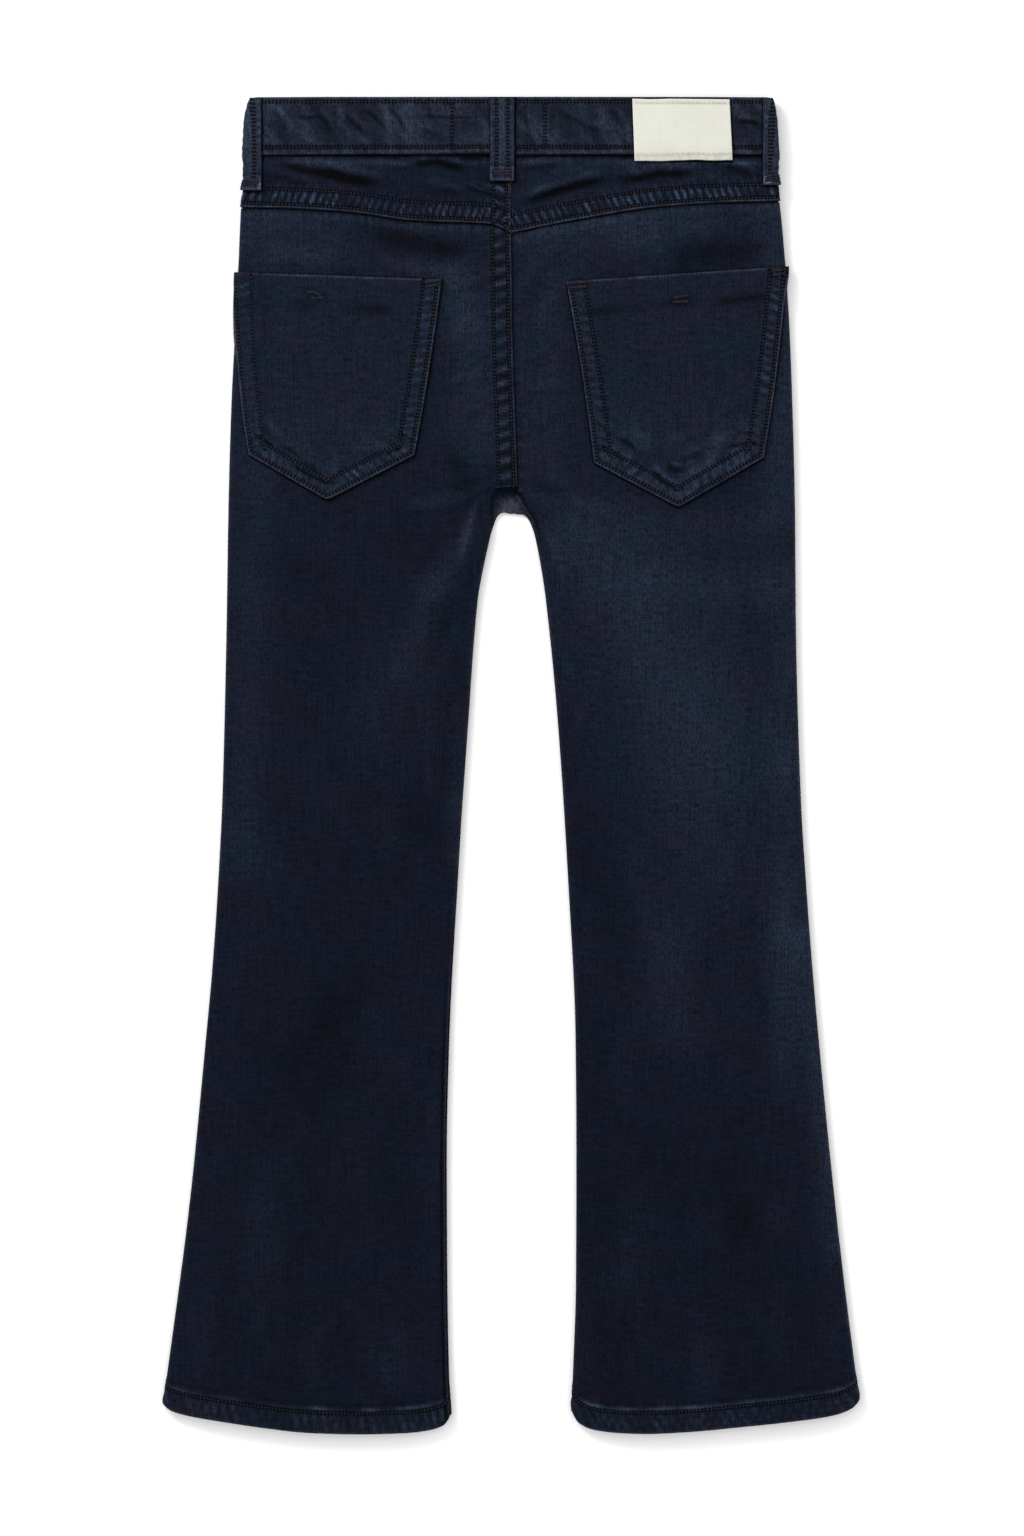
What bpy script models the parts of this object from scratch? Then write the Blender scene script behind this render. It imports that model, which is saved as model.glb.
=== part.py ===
"""Flared jeans for a child, laid flat on a surface with the back facing up.

Lengths are in millimetres until a mesh is made, and the meshes are in metres.
x runs across the garment, from the wearer's left leg to the right one. z is up, off the surface.
A place along the garment is a drop: the distance down from the top edge of the waistband.

The cloth is worked out flat first, as on a cutting table. A point of it has an x and a drop, and cloth
that reaches past the outline of the garment is carried round the folded edge to the other side. Each
piece is a wall between two lifts off a grid of such points. A lift is positive out of the garment.
"""

import math

import bpy
import numpy as np
from mathutils import Vector
from mathutils.bvhtree import BVHTree
from mathutils.geometry import barycentric_transform


def table(columns, *rows):
    """A table with named columns, as one array for each column."""
    return dict(zip(columns.split(), np.array(rows, float).T))


METRES = 0.001
BACK, FRONT = 1, -1

# Whole garment
LENGTH = 700.0
WAISTBAND_HEIGHT = 30.5
CROTCH_X = 0.8
CROTCH_DROP = 208.5

# Cloth
CLOTH = 1.7
SEAM_GAP = 0.3
LAP_WIDTH = 7.5
LAP_SLOPE = 1.8
LAP_RISE = 0.7
BAND_PROUD = 0.9
BAND_WALL = 2.3
THIN_CLOTH = 1.3
HEM_HEIGHT = 11.0
HEM_SLOPE = 1.5
HEM_PROUD = 0.3
HEM_WALL = 2.6
RIM = 0.8

# x of the outer edges of the garment as it lies
OUTER_EDGES = table(
    "drop   left   right",
    (-12, -133.9, 133.0),
    (0, -134.8, 133.8),
    (4, -136.2, 134.8),
    (12, -138.0, 136.0),
    (29, -139.1, 137.3),
    (44, -140.0, 138.3),
    (58, -142.2, 140.2),
    (87, -143.6, 142.9),
    (117, -145.1, 144.9),
    (160, -147.3, 146.6),
    (211, -148.8, 147.9),
    (284, -150.0, 148.6),
    (368, -152.1, 151.1),
    (410, -154.2, 153.7),
    (452, -157.0, 156.8),
    (494, -160.8, 160.5),
    (577, -169.0, 168.8),
    (661, -180.0, 178.9),
    (700, -185.6, 184.6),
    (730, -190.0, 189.0),
)

# Inner edge of each leg as it lies, from the crotch to past the hem
INNER_EDGE_LEFT = table(
    "x      drop",
    (CROTCH_X, CROTCH_DROP),
    (-3.4, 210.2),
    (-7.4, 215.5),
    (-10.0, 224),
    (-14.4, 242),
    (-18.2, 263),
    (-23.1, 326),
    (-28.5, 410),
    (-33.0, 494),
    (-34.3, 556),
    (-34.0, 619),
    (-33.1, 668),
    (-32.0, 692),
    (-31.0, 730),
)
INNER_EDGE_RIGHT = table(
    "x      drop",
    (CROTCH_X, CROTCH_DROP),
    (4.6, 210.6),
    (8.2, 217),
    (10.6, 225),
    (14.2, 242),
    (17.4, 263),
    (23.6, 326),
    (29.1, 410),
    (33.0, 494),
    (33.4, 556),
    (33.2, 619),
    (31.6, 668),
    (30.6, 692),
    (30.0, 730),
)

# Lower edge of each hem
HEM_LINE_LEFT = table(
    "x      drop",
    (-184.0, 684.0),
    (-178.0, 688.2),
    (-169.0, 690.6),
    (-150.0, 693.8),
    (-128.0, 697.0),
    (-106.0, 699.3),
    (-80.0, LENGTH),
    (-56.0, 699.4),
    (-44.0, 698.0),
    (-36.5, 695.6),
    (-32.0, 690.0),
)
HEM_LINE_RIGHT = table(
    "x      drop",
    (30.6, 688.0),
    (34.5, 694.0),
    (42.0, 697.6),
    (54.0, 699.2),
    (70.0, 699.8),
    (92.0, 698.8),
    (118.0, 696.4),
    (148.0, 693.2),
    (168.0, 690.2),
    (177.0, 687.0),
    (183.0, 681.4),
)

# Lower edge of each yoke, where it laps the back panel
YOKE_LINE_LEFT = table(
    "x      drop",
    (-148.0, 57.6),
    (-120.0, 58.2),
    (-84.0, 60.4),
    (-52.0, 64.8),
    (-12.0, 66.6),
    (-1.0, 71.0),
)
YOKE_LINE_RIGHT = table(
    "x      drop",
    (-1.0, 71.2),
    (33.0, 64.4),
    (74.0, 57.8),
    (112.0, 55.2),
    (148.0, 54.2),
)

# x of the centre seams of the back and of the front
CENTRE_SEAMS = table(
    "drop   back   front",
    (0, -1.2, 0.6),
    (71, -1.0, 0.5),
    (110, -2.0, 0.4),
    (160, -1.8, 0.5),
    (190, -0.2, 0.7),
    (CROTCH_DROP, CROTCH_X, CROTCH_X),
    (240, 2.0, CROTCH_X),
)

# How the garment lies: top of the folded edges, rise of the back between them and how far in it keeps
# rising, lift of the front off the surface, and extra lift of both at the centre
LIE = table(
    "drop  fold_top rise reach front_lift centre_lift",
    (-12, 7.3, 2.3, 55, 2.7, 0.8),
    (30.5, 7.3, 2.3, 55, 2.7, 0.8),
    (48, 7.0, 2.2, 52, 2.6, 0.7),
    (64, 6.3, 2.1, 50, 1.6, 0.4),
    (96, 5.2, 2.1, 48, 0.0, 0.0),
    (150, 5.0, 2.2, 46, 0.0, 0.0),
    (215, 4.8, 2.3, 40, 0.0, 0.0),
    (330, 4.7, 2.3, 34, 0.0, 0.0),
    (450, 4.6, 2.2, 34, 0.0, 0.0),
    (600, 4.6, 2.3, 38, 0.0, 0.0),
    (654, 4.7, 2.1, 40, 0.0, 0.0),
    (671, 5.1, 1.9, 42, HEM_PROUD, 0.0),
    (730, 5.1, 1.9, 42, HEM_PROUD, 0.0),
)
CENTRE_REACH = 38.0

# Turn of each seam that lies on a folded edge, in degrees above the middle of the fold
SEAM_TURNS = table(
    "drop          side inseam_left inseam_right",
    (0, -20, -20, -20),
    (CROTCH_DROP, -20, -20, -20),
    (300, -20, -20, -20),
    (470, -20, 40, -20),
    (730, -20, 48, -20),
)

# Largest soft folds of the back, each a straight line with rounded sides
FOLDS = table(
    "x0    drop0 x1  drop1 half_width height",
    (-126, 34, -70, 44, 5.5, -0.9),
    (-132, 43, -84, 53, 6.0, 0.5),
    (-56, 35, -18, 38, 4.5, -0.8),
    (2, 57, 62, 41, 6.0, -0.9),
    (10, 49, 66, 36, 5.0, 0.4),
    (-74, 72, -16, 86, 9.0, -0.8),
    (46, 74, 4, 118, 11.0, -0.6),
    (-12, 228, -68, 316, 13.0, 0.7),
    (-28, 250, -30, 352, 9.0, -0.6),
    (22, 240, 120, 366, 26.0, 0.6),
    (34, 300, 40, 470, 11.0, -0.6),
    (-96, 260, -118, 470, 24.0, 0.5),
    (140, 420, 148, 620, 14.0, 0.5),
    (-60, 470, -70, 620, 22.0, -0.5),
    (92, 590, 124, 660, 12.0, -0.5),
)
FOLD_FADE = 0.3
FOLD_EDGE_FADE = 8.0

# Back pockets: x and drop of the corners and of the middles of the sides
BACK_POCKET_LEFT = {
    "outer_top": (-145.8, 91.4),
    "outer_side": (-144.2, 140.0),
    "outer_low": (-138.2, 187.0),
    "tip": (-97.1, 211.0),
    "inner_low": (-51.4, 187.4),
    "inner_side": (-43.6, 143.0),
    "inner_top": (-37.0, 95.3),
}
BACK_POCKET_RIGHT = {
    "outer_top": (144.0, 88.4),
    "outer_side": (138.4, 143.0),
    "outer_low": (131.4, 188.6),
    "tip": (86.8, 214.8),
    "inner_low": (42.6, 191.4),
    "inner_side": (36.4, 146.0),
    "inner_top": (28.0, 96.4),
}
POCKET_POINT_BEND = 1.5

# Belt loops: x of the middle, or of the edge that lies on the back, and drops of the ends
LOOP_WIDTH = 12.6
LOOP_TACK = 6.0
LOOP_TACK_STEP = 0.8
LOOP_FOLDED_END = 0.9
LOOP_OFF_BAND = 3.5
CENTRE_LOOP = {"middle": -5.4, "top": 0.9, "low": 44.0}
SIDE_LOOP_LEFT = {"back_edge": -131.4, "top": 2.0, "low": 48.8}
SIDE_LOOP_RIGHT = {"back_edge": 130.9, "top": 1.6, "low": 46.0}
FRONT_LOOP_LEFT = {"middle": -72.0, "top": 1.2, "low": 43.0}
FRONT_LOOP_RIGHT = {"middle": 73.0, "top": 1.2, "low": 43.0}

# Woven patch on the waistband: x and drop of its corners
PATCH = {
    "top_left": (62.6, 1.2),
    "top_right": (113.4, 1.4),
    "low_right": (115.0, 33.2),
    "low_left": (63.8, 33.4),
}
PATCH_CLOTH = 0.8

# Front pockets: curved opening from the waistband to the side seam, and the cloth behind it
OPENING_TOP_X = 68.0
OPENING_LOW_DROP = 96.0
OPENING_BEND = 2.4
OPENING_ROWS = (0, 0.22, 0.5, 0.74, 0.9, 0.97, 0.993)
OPENING_GAP = 0.5
FACING_INSET = 0.8
FACING_SLOPE = 6.0
FACING_COLUMNS = (0, 0.04, 0.1, 0.2, 0.45, 0.72, 1.0)

# Fly: the left front laps the right one, and the outer end of the waistband laps the inner one
BAND_END_X = 17.0
BAND_INNER_END_X = -14.0
BAND_STEP_SLOPE = 13.0
FLY_LAP = {"near": 7.0, "far": 9.0, "recess": 0.7, "thickening": 0.4, "end_above_crotch": 20.0}
ZIP = {"top": 33.0, "chain_top": 51.0, "low": 124.0, "tape_width": 22.0, "tape": 0.6}
CHAIN = {"width": 5.0, "height": 0.7, "slope": 0.4}
SLIDER = {"width": 6.0, "pull_width": 3.3, "height": 1.2, "top": 34.5, "shoulder": 42.5, "low": 50.0}
BUTTON = {"x": 6.0, "drop": 15.5, "radius": 7.5, "edge": 0.7, "dome": 1.3, "sides": 20}
BUTTON_POST = {"radius": 3.0, "height": 0.6}

# Steps of the grids, in from the edge of a piece
FOLD_STEPS = (0, 1.2, 2.4, 4.0)
FOLD_STEPS_UNDER = (0, 1.0, 2.0, 3.0)
BAND_FOLD_STEPS = (0, 1.2, 2.4, 3.7)
POCKET_FOLD_STEPS = (0, 1.2, 2.6, 4.4)
YOKE_LAP_STEPS = (0, LAP_WIDTH, LAP_WIDTH + LAP_SLOPE)
INSEAM_STEPS = (0, 1.2, 2.4, 4.0, LAP_WIDTH, LAP_WIDTH + LAP_SLOPE, 17)
INSEAM_STEPS_UNDER = (0, 1.2, 2.6, 7.5, 10.5, 20)
CROTCH_STEPS = (-14, -7, -3, -1, 0.4, 1.6, 3.4, 6.4, 11, 18, 28, 44)
HIP_SHARES = (0, 0.105, 0.256, 0.465, 0.721)
HEM_STEPS = (40, 22, HEM_HEIGHT + 1.6, HEM_HEIGHT - 0.8, 5, 1.2, 0)
BACK_TOP_DROP = 64.0
FRONT_FULL_DROP = 112.0
TOP_LINE_REACH = 40.0
HEM_LINE_REACH = 60.0

DENIM = {"colour": (0.013, 0.019, 0.036, 1.0), "roughness": 0.9, "metallic": 0.0}
WORN_DENIM = {"colour": (0.018, 0.026, 0.046, 1.0), "roughness": 0.85, "metallic": 0.0}
WOVEN = {"colour": (0.72, 0.69, 0.60, 1.0), "roughness": 0.9, "metallic": 0.0}
DARK_METAL = {"colour": (0.20, 0.17, 0.13, 1.0), "roughness": 0.35, "metallic": 1.0}


def clear_scene():
    for thing in list(bpy.data.objects):
        bpy.data.objects.remove(thing, do_unlink=True)


def through(places, values, at):
    """Smooth curve through values at places, which never swings past the values on either side."""
    at = np.asarray(at, float)
    rises = np.diff(values) / np.diff(places)
    same_way = rises[:-1] * rises[1:] > 0
    both = np.where(same_way, rises[:-1] + rises[1:], 1)
    bends = np.where(same_way, 2 * rises[:-1] * rises[1:] / both, 0)
    slopes = np.concatenate([rises[:1], bends, rises[-1:]])
    i = np.clip(np.searchsorted(places, at) - 1, 0, len(places) - 2)
    span = places[i + 1] - places[i]
    t = np.clip((at - places[i]) / span, 0, 1)
    start = (1 + 2 * t) * (1 - t) ** 2 * values[i] + t * (1 - t) ** 2 * span * slopes[i]
    end = t * t * (3 - 2 * t) * values[i + 1] - t * t * (1 - t) * span * slopes[i + 1]
    return start + end


def by_drop(rows, name, drop):
    return through(rows["drop"], rows[name], drop)


def by_x(line, x):
    return through(line["x"], line["drop"], x)


def smooth_step(t):
    t = np.clip(t, 0, 1)
    return t * t * (3 - 2 * t)


def unit(vectors):
    return vectors / np.linalg.norm(vectors, axis=-1)[..., None]


class SideEdge:
    """An outer edge, from which the cloth is measured straight across."""

    def __init__(self, name, inward):
        self.name, self.inward = name, inward

    def nearest(self, flat):
        """Distance into the cloth, nearest point of the edge and direction into the cloth."""
        drop = flat[:, 1]
        foot = np.stack([by_drop(OUTER_EDGES, self.name, drop), drop], axis=1)
        return (flat[:, 0] - foot[:, 0]) * self.inward, foot, np.zeros_like(foot) + (self.inward, 0)


class InnerEdge:
    """The inner edge of both legs, a smooth line from the left hem up to the crotch and down again."""

    spacing = 1.5

    def __init__(self, left, right):
        x = np.concatenate([left["x"][::-1], right["x"][1:]])
        drop = np.concatenate([left["drop"][::-1], right["drop"][1:]])
        chords = np.concatenate([[0], np.cumsum(np.hypot(np.diff(x), np.diff(drop)))])
        at = np.arange(0, chords[-1], self.spacing)
        self.points = np.stack([through(chords, x, at), through(chords, drop, at)], axis=1)
        along = unit(np.gradient(self.points, axis=0))
        self.inward = np.stack([along[:, 1], -along[:, 0]], axis=1)
        self.crotch = int(self.points[:, 1].argmin())

    def nearest(self, flat):
        """Distance into the cloth, nearest point of the edge and direction into the cloth."""
        start, step = self.points[:-1], np.diff(self.points, axis=0)
        away = flat[:, None, :] - start
        share = np.clip((away * step).sum(-1) / (step * step).sum(-1), 0, 1)
        gap = away - share[..., None] * step
        closest = (gap**2).sum(-1).argmin(1)
        share = share[np.arange(len(flat)), closest][:, None]
        inward = unit(self.inward[closest] * (1 - share) + self.inward[closest + 1] * share)
        foot = start[closest] + share * step[closest]
        return ((flat - foot) * inward).sum(1), foot, inward

    def moved_out(self, distances):
        return self.points - self.inward * distances[:, None]


INNER_EDGE = InnerEdge(INNER_EDGE_LEFT, INNER_EDGE_RIGHT)
EDGES = (SideEdge("left", 1), SideEdge("right", -1), INNER_EDGE)


def fold_radius(drop):
    """Half the thickness of the garment at its folded edges."""
    return (by_drop(LIE, "fold_top", drop) - by_drop(LIE, "front_lift", drop)) / 2


def quarter_turn(drop):
    return fold_radius(drop) * math.pi / 2


def soft_folds(x, drop):
    height = np.zeros_like(x)
    for x0, drop0, x1, drop1, half_width, rise in zip(*FOLDS.values()):
        length = math.hypot(x1 - x0, drop1 - drop0)
        ux, ud = (x1 - x0) / length, (drop1 - drop0) / length
        along = ((x - x0) * ux + (drop - drop0) * ud) / length
        across = (drop - drop0) * ux - (x - x0) * ud
        fade = smooth_step(1 + along / FOLD_FADE) * smooth_step(1 + (1 - along) / FOLD_FADE)
        height += rise * np.exp(-((across / half_width) ** 2)) * fade
    return height


def lie(x, drop, side):
    """Places in space of points of the flat cloth of one side, the back or the front."""
    flat = np.stack([np.ravel(x), np.ravel(drop)], axis=1).astype(float)
    depths, feet, inwards = (np.array(found) for found in zip(*(edge.nearest(flat) for edge in EDGES)))
    closest, row = depths.argmin(0), np.arange(len(flat))
    depth, foot, inward = depths[closest, row], feet[closest, row], inwards[closest, row]

    radius, quarter = fold_radius(flat[:, 1]), quarter_turn(flat[:, 1])
    past = np.clip(radius - depth, 0, None)
    turn = math.pi / 2 * (1 - np.clip(past, 0, 2 * quarter) / quarter)
    from_edge = radius * (1 - np.cos(turn)) + np.clip(past - 2 * quarter, 0, None)
    plan = np.where((depth < radius)[:, None], foot + inward * from_edge[:, None], flat)

    plan_x, plan_drop = plan.T
    swell = 1 - np.exp(-((2 * np.clip(depth, 0, None) / by_drop(LIE, "reach", plan_drop)) ** 2))
    centre = by_drop(LIE, "centre_lift", plan_drop) * np.exp(-((plan_x / CENTRE_REACH) ** 2)) * swell
    height = by_drop(LIE, "front_lift", plan_drop) + radius + side * radius * np.sin(turn) + centre
    if side == BACK:
        height += by_drop(LIE, "rise", plan_drop) * swell
        height += soft_folds(plan_x, plan_drop) * smooth_step(depth / FOLD_EDGE_FADE)
    return np.stack([plan_x, LENGTH / 2 - plan_drop, height], axis=1).reshape(np.shape(x) + (3,))


def lie_with_normals(x, drop, side, probe=0.25):
    """Places of flat points, and the directions out of the garment there."""
    across = lie(x + probe, drop, side) - lie(x - probe, drop, side)
    down = lie(x, drop + probe, side) - lie(x, drop - probe, side)
    return lie(x, drop, side), unit(np.cross(down, across) * side)


def new_material(name, finish):
    material = bpy.data.materials.new(name)
    material.use_nodes = True
    shader = material.node_tree.nodes["Principled BSDF"]
    shader.inputs["Base Color"].default_value = finish["colour"]
    shader.inputs["Roughness"].default_value = finish["roughness"]
    shader.inputs["Metallic"].default_value = finish["metallic"]
    return material


def add_object(name, points, faces, finish):
    mesh = bpy.data.meshes.new(name)
    mesh.from_pydata((points * METRES).tolist(), [], faces)
    mesh.materials.append(new_material(name, finish))
    mesh.shade_smooth()
    mesh.set_sharp_from_angle(angle=math.radians(50))
    bpy.context.scene.collection.objects.link(bpy.data.objects.new(name, mesh))


def grid_triangles(rows, columns):
    """Corners of the triangles of a grid whose points are numbered row by row."""
    index = np.arange(rows * columns).reshape(rows, columns)
    a, b, c, d = index[:-1, :-1], index[1:, :-1], index[1:, 1:], index[:-1, 1:]
    return np.concatenate([np.stack(three, axis=-1).reshape(-1, 3) for three in ((a, b, c), (a, c, d))])


def wall(name, places, normals, outer, inner, finish):
    """A closed solid between two lifts along the normals of a grid of places."""
    rows, columns = places.shape[:2]
    lifts = [np.broadcast_to(lift, (rows, columns))[..., None] for lift in (outer, inner)]
    points = np.concatenate([(places + normals * lift).reshape(-1, 3) for lift in lifts])
    over = grid_triangles(rows, columns)
    index = np.arange(rows * columns).reshape(rows, columns)
    rim = np.concatenate([index[0, :-1], index[:-1, -1], index[-1, :0:-1], index[:0:-1, 0]])
    under = rim + rows * columns
    after, under_after = np.roll(rim, -1), np.roll(under, -1)
    edges = [np.stack([rim, after, under_after], axis=1), np.stack([rim, under_after, under], axis=1)]
    triangles = np.concatenate([over, over[:, ::-1] + rows * columns] + edges)
    if np.linalg.det(points[triangles]).sum() < 0:
        triangles = triangles[:, ::-1]
    add_object(name, points, triangles.tolist(), finish)


class Skin:
    """Outer face of a piece, found by flat place, for other pieces to lie on."""

    def __init__(self, x, drop, points):
        self.x, self.drop, self.grid = x, drop, points
        self.triangles = grid_triangles(*x.shape).tolist()
        self.flat = [Vector((a, b, 0)) for a, b in zip(np.ravel(x), np.ravel(drop))]
        self.points = [Vector(point) for point in points.reshape(-1, 3)]
        self.tree = BVHTree.FromPolygons(self.flat, self.triangles)

    def at(self, x, drop):
        hit, _, found, _ = self.tree.ray_cast(Vector((x, drop, 1)), Vector((0, 0, -1)))
        if found is None:
            return None
        corners = self.triangles[found]
        flat, points = ([source[i] for i in corners] for source in (self.flat, self.points))
        return np.array(barycentric_transform(hit, *flat, *points))

    def from_the_back(self, leg):
        """The same face of a front piece, by its place on cloth that comes round the side from the back."""
        edge = by_drop(OUTER_EDGES, leg["word"], self.drop)
        round_fold = 2 * (quarter_turn(self.drop) - fold_radius(self.drop))
        return Skin(2 * edge + leg["sign"] * round_fold - self.x, self.drop, self.grid)


def laid_on(skins, x, drop, places, normals, lift, shares=4, rounds=8):
    """Lifts that keep a piece clear of the faces it lies on, also between its own points."""
    lift = np.array(np.broadcast_to(lift, x.shape), float).ravel()
    flat = np.stack([np.ravel(x), np.ravel(drop)], axis=1)
    places, normals = places.reshape(-1, 3), normals.reshape(-1, 3)
    weights = [(a, b, shares - a - b) for a in range(shares + 1) for b in range(shares + 1 - a)]
    contacts = []
    for corners in grid_triangles(*x.shape):
        for weight in np.array(weights) / shares:
            for skin in skins:
                under = skin.at(*(weight @ flat[corners]))
                if under is not None:
                    contacts.append((corners, weight, weight @ normals[corners], under))
    for _ in range(rounds):
        points, raised = places + normals * lift[:, None], lift.copy()
        for corners, weight, normal, under in contacts:
            short = SEAM_GAP - (weight @ points[corners] - under) @ normal
            if short > 0:
                raised[corners] = np.maximum(raised[corners], lift[corners] + short)
        lift = raised
    return lift.reshape(x.shape)


def spread(start, end, start_steps, end_steps, between):
    """Rows of places from start to end, by steps of their own near each end and even ones between."""
    way = np.sign(end - start)[:, None]
    first = start[:, None] + way * np.array(start_steps)
    last = end[:, None] - way * np.array(end_steps)[::-1]
    share = np.linspace(0, 1, between + 2)[1:-1]
    middle = first[:, -1:] + (last[:, :1] - first[:, -1:]) * share
    return np.concatenate([first, middle, last], axis=1)


def panel_grid(rows, outer, inner, steps, between, top_line, low_line, top_reach):
    """Flat points of a panel from its outer edge to its inner one, in rows that bend to its end lines."""
    near_top = smooth_step(1 - (rows - rows[0]) / top_reach)[:, None]
    near_low = smooth_step(1 - (rows[-1] - rows) / HEM_LINE_REACH)[:, None]

    def drop_at(x):
        return rows[:, None] + (top_line(x) - rows[0]) * near_top + (low_line(x) - rows[-1]) * near_low

    outer_drop, inner_drop = (drop_at(edge(rows)[:, None])[:, 0] for edge in (outer, inner))
    x = spread(outer(outer_drop), inner(inner_drop), *steps, between)
    return x, drop_at(x)


def seam_reach(drop, turns, side):
    """How far past the outline the flat cloth goes to a seam that lies on the fold."""
    turn = by_drop(SEAM_TURNS, turns, drop) / 90 * side
    return quarter_turn(drop) * (1 - turn) - fold_radius(drop) - SEAM_GAP / 2


def side_seam(leg, side):
    """x of the side seam by drop."""
    return lambda drop: by_drop(OUTER_EDGES, leg["word"], drop) + leg["sign"] * seam_reach(drop, "side", side)


def centre_seam(leg, side):
    """x of the centre seam by drop."""
    name = "back" if side == BACK else "front"
    return lambda drop: by_drop(CENTRE_SEAMS, name, drop) + leg["sign"] * SEAM_GAP / 2


def inner_seams(leg, side):
    """x by drop of the centre seam down to the crotch and of the inseam below it, and the crotch's drop."""
    moved = INNER_EDGE.moved_out(seam_reach(INNER_EDGE.points[:, 1], "inseam_" + leg["word"], side))
    x, drops = (moved[INNER_EDGE.crotch :: leg["sign"]]).T
    centre = centre_seam(leg, side)

    def x_at(drop):
        leg_x = np.interp(drop, drops, x)
        past_centre = np.maximum(leg_x * leg["sign"], centre(drop) * leg["sign"]) * leg["sign"]
        return np.where(drop <= drops[0], centre(drop), past_centre)

    return x_at, drops[0]


def lap(distance):
    """Extra lift of a lapped edge, by distance from it."""
    return LAP_RISE * smooth_step((LAP_WIDTH + LAP_SLOPE - distance) / LAP_SLOPE)


def hem_lifts(drop, hem_drop, outer, inner):
    """Lifts of a panel with its turned hem, which is thicker and has a rounded lower edge."""
    above = hem_drop - drop
    in_hem = smooth_step((HEM_HEIGHT - above) / HEM_SLOPE + 0.5)
    rim = np.where(above < RIM / 2, RIM, 0.0)
    return outer + HEM_PROUD * in_hem - rim, inner - (HEM_WALL - CLOTH - HEM_PROUD) * in_hem + rim


def leg_rows(first, crotch_drop, leg_count=10):
    """Drops of a panel's rows, close together at the crotch and the hem."""
    crotch = crotch_drop + np.array(CROTCH_STEPS)
    hip = first + (crotch[0] - first) * np.array(HIP_SHARES)
    hem = LENGTH - np.array(HEM_STEPS)
    leg = np.linspace(crotch[-1], hem[0], leg_count + 2)[1:-1]
    return np.concatenate([hip, crotch, leg, hem])


def back_panel(leg):
    """Back of one leg, from the yoke to the hem. The left one laps the right one at the centre seam."""
    inner, crotch_drop = inner_seams(leg, BACK)
    x, drop = panel_grid(
        leg_rows(BACK_TOP_DROP, crotch_drop),
        side_seam(leg, BACK),
        inner,
        steps=(FOLD_STEPS, INSEAM_STEPS),
        between=6,
        top_line=lambda x: by_x(leg["yoke_line"], x) + SEAM_GAP / 2,
        low_line=lambda x: by_x(leg["hem_line"], x),
        top_reach=TOP_LINE_REACH,
    )
    lapped = 0.0
    if leg is LEFT:
        above_crotch = smooth_step((crotch_drop - drop) / (2 * LAP_WIDTH) + 0.5)
        lapped = lap(np.abs(x[:, -1:] - x)) * above_crotch
    places, normals = lie_with_normals(x, drop, BACK)
    outer_lift, inner_lift = hem_lifts(drop, by_x(leg["hem_line"], x), lapped, -CLOTH)
    wall("back_" + leg["word"], places, normals, outer_lift, inner_lift, DENIM)
    return Skin(x, drop, places + normals * outer_lift[..., None])


def opening_share(drop):
    return np.clip((drop - WAISTBAND_HEIGHT) / (OPENING_LOW_DROP - WAISTBAND_HEIGHT), 0, 1)


def pocket_opening(leg):
    """x of the curved edge of a front pocket's opening by drop, and of the side seam below it."""
    side = side_seam(leg, FRONT)
    top = leg["sign"] * OPENING_TOP_X
    return lambda drop: top + (side(drop) - top) * (1 - np.sqrt(1 - opening_share(drop) ** OPENING_BEND))


def opening_rows():
    rows = WAISTBAND_HEIGHT + (OPENING_LOW_DROP - WAISTBAND_HEIGHT) * np.array(OPENING_ROWS)
    return rows + np.where(rows == rows[0], SEAM_GAP / 2, 0)


def front_panel(leg):
    """Front of one leg, underneath, cut away at the pocket opening. The left one laps the right one."""
    inner, crotch_drop = inner_seams(leg, FRONT)
    rows = np.concatenate([opening_rows(), [OPENING_LOW_DROP], leg_rows(FRONT_FULL_DROP, crotch_drop)])
    x, drop = panel_grid(
        rows,
        pocket_opening(leg),
        inner,
        steps=(FOLD_STEPS_UNDER, INSEAM_STEPS_UNDER),
        between=3,
        top_line=lambda x: np.full_like(x, rows[0]),
        low_line=lambda x: by_x(leg["hem_line"], x),
        top_reach=TOP_LINE_REACH,
    )
    under_fly = 0.0
    if leg is RIGHT:
        beside = smooth_step((FLY_LAP["far"] - np.abs(x[:, -1:] - x)) / (FLY_LAP["far"] - FLY_LAP["near"]))
        above_end = smooth_step((crotch_drop - drop) / FLY_LAP["end_above_crotch"] - 1)
        under_fly = beside * above_end
    places, normals = lie_with_normals(x, drop, FRONT)
    outer_lift, inner_lift = hem_lifts(
        drop,
        by_x(leg["hem_line"], x),
        -FLY_LAP["recess"] * under_fly,
        -CLOTH - FLY_LAP["thickening"] * under_fly,
    )
    wall("front_" + leg["word"], places, normals, outer_lift, inner_lift, DENIM)
    return Skin(x, drop, places + normals * outer_lift[..., None])


def front_pocket_facing(leg):
    """Cloth that shows in the curved opening of a front pocket, set in from the front panel."""
    drops = opening_rows()
    side = side_seam(leg, FRONT)(drops)
    opening = pocket_opening(leg)(drops) + leg["sign"] * OPENING_GAP
    x = side[:, None] + (opening - side)[:, None] * np.array(FACING_COLUMNS)
    drop = np.broadcast_to(drops[:, None], x.shape)
    places, normals = lie_with_normals(x, drop, FRONT)
    inset = FACING_INSET * smooth_step(np.abs(side[:, None] - x) / FACING_SLOPE)
    wall("front_pocket_" + leg["word"], places, normals, -inset, -inset - THIN_CLOTH, DENIM)
    return Skin(x, drop, places - normals * inset[..., None])


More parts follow.
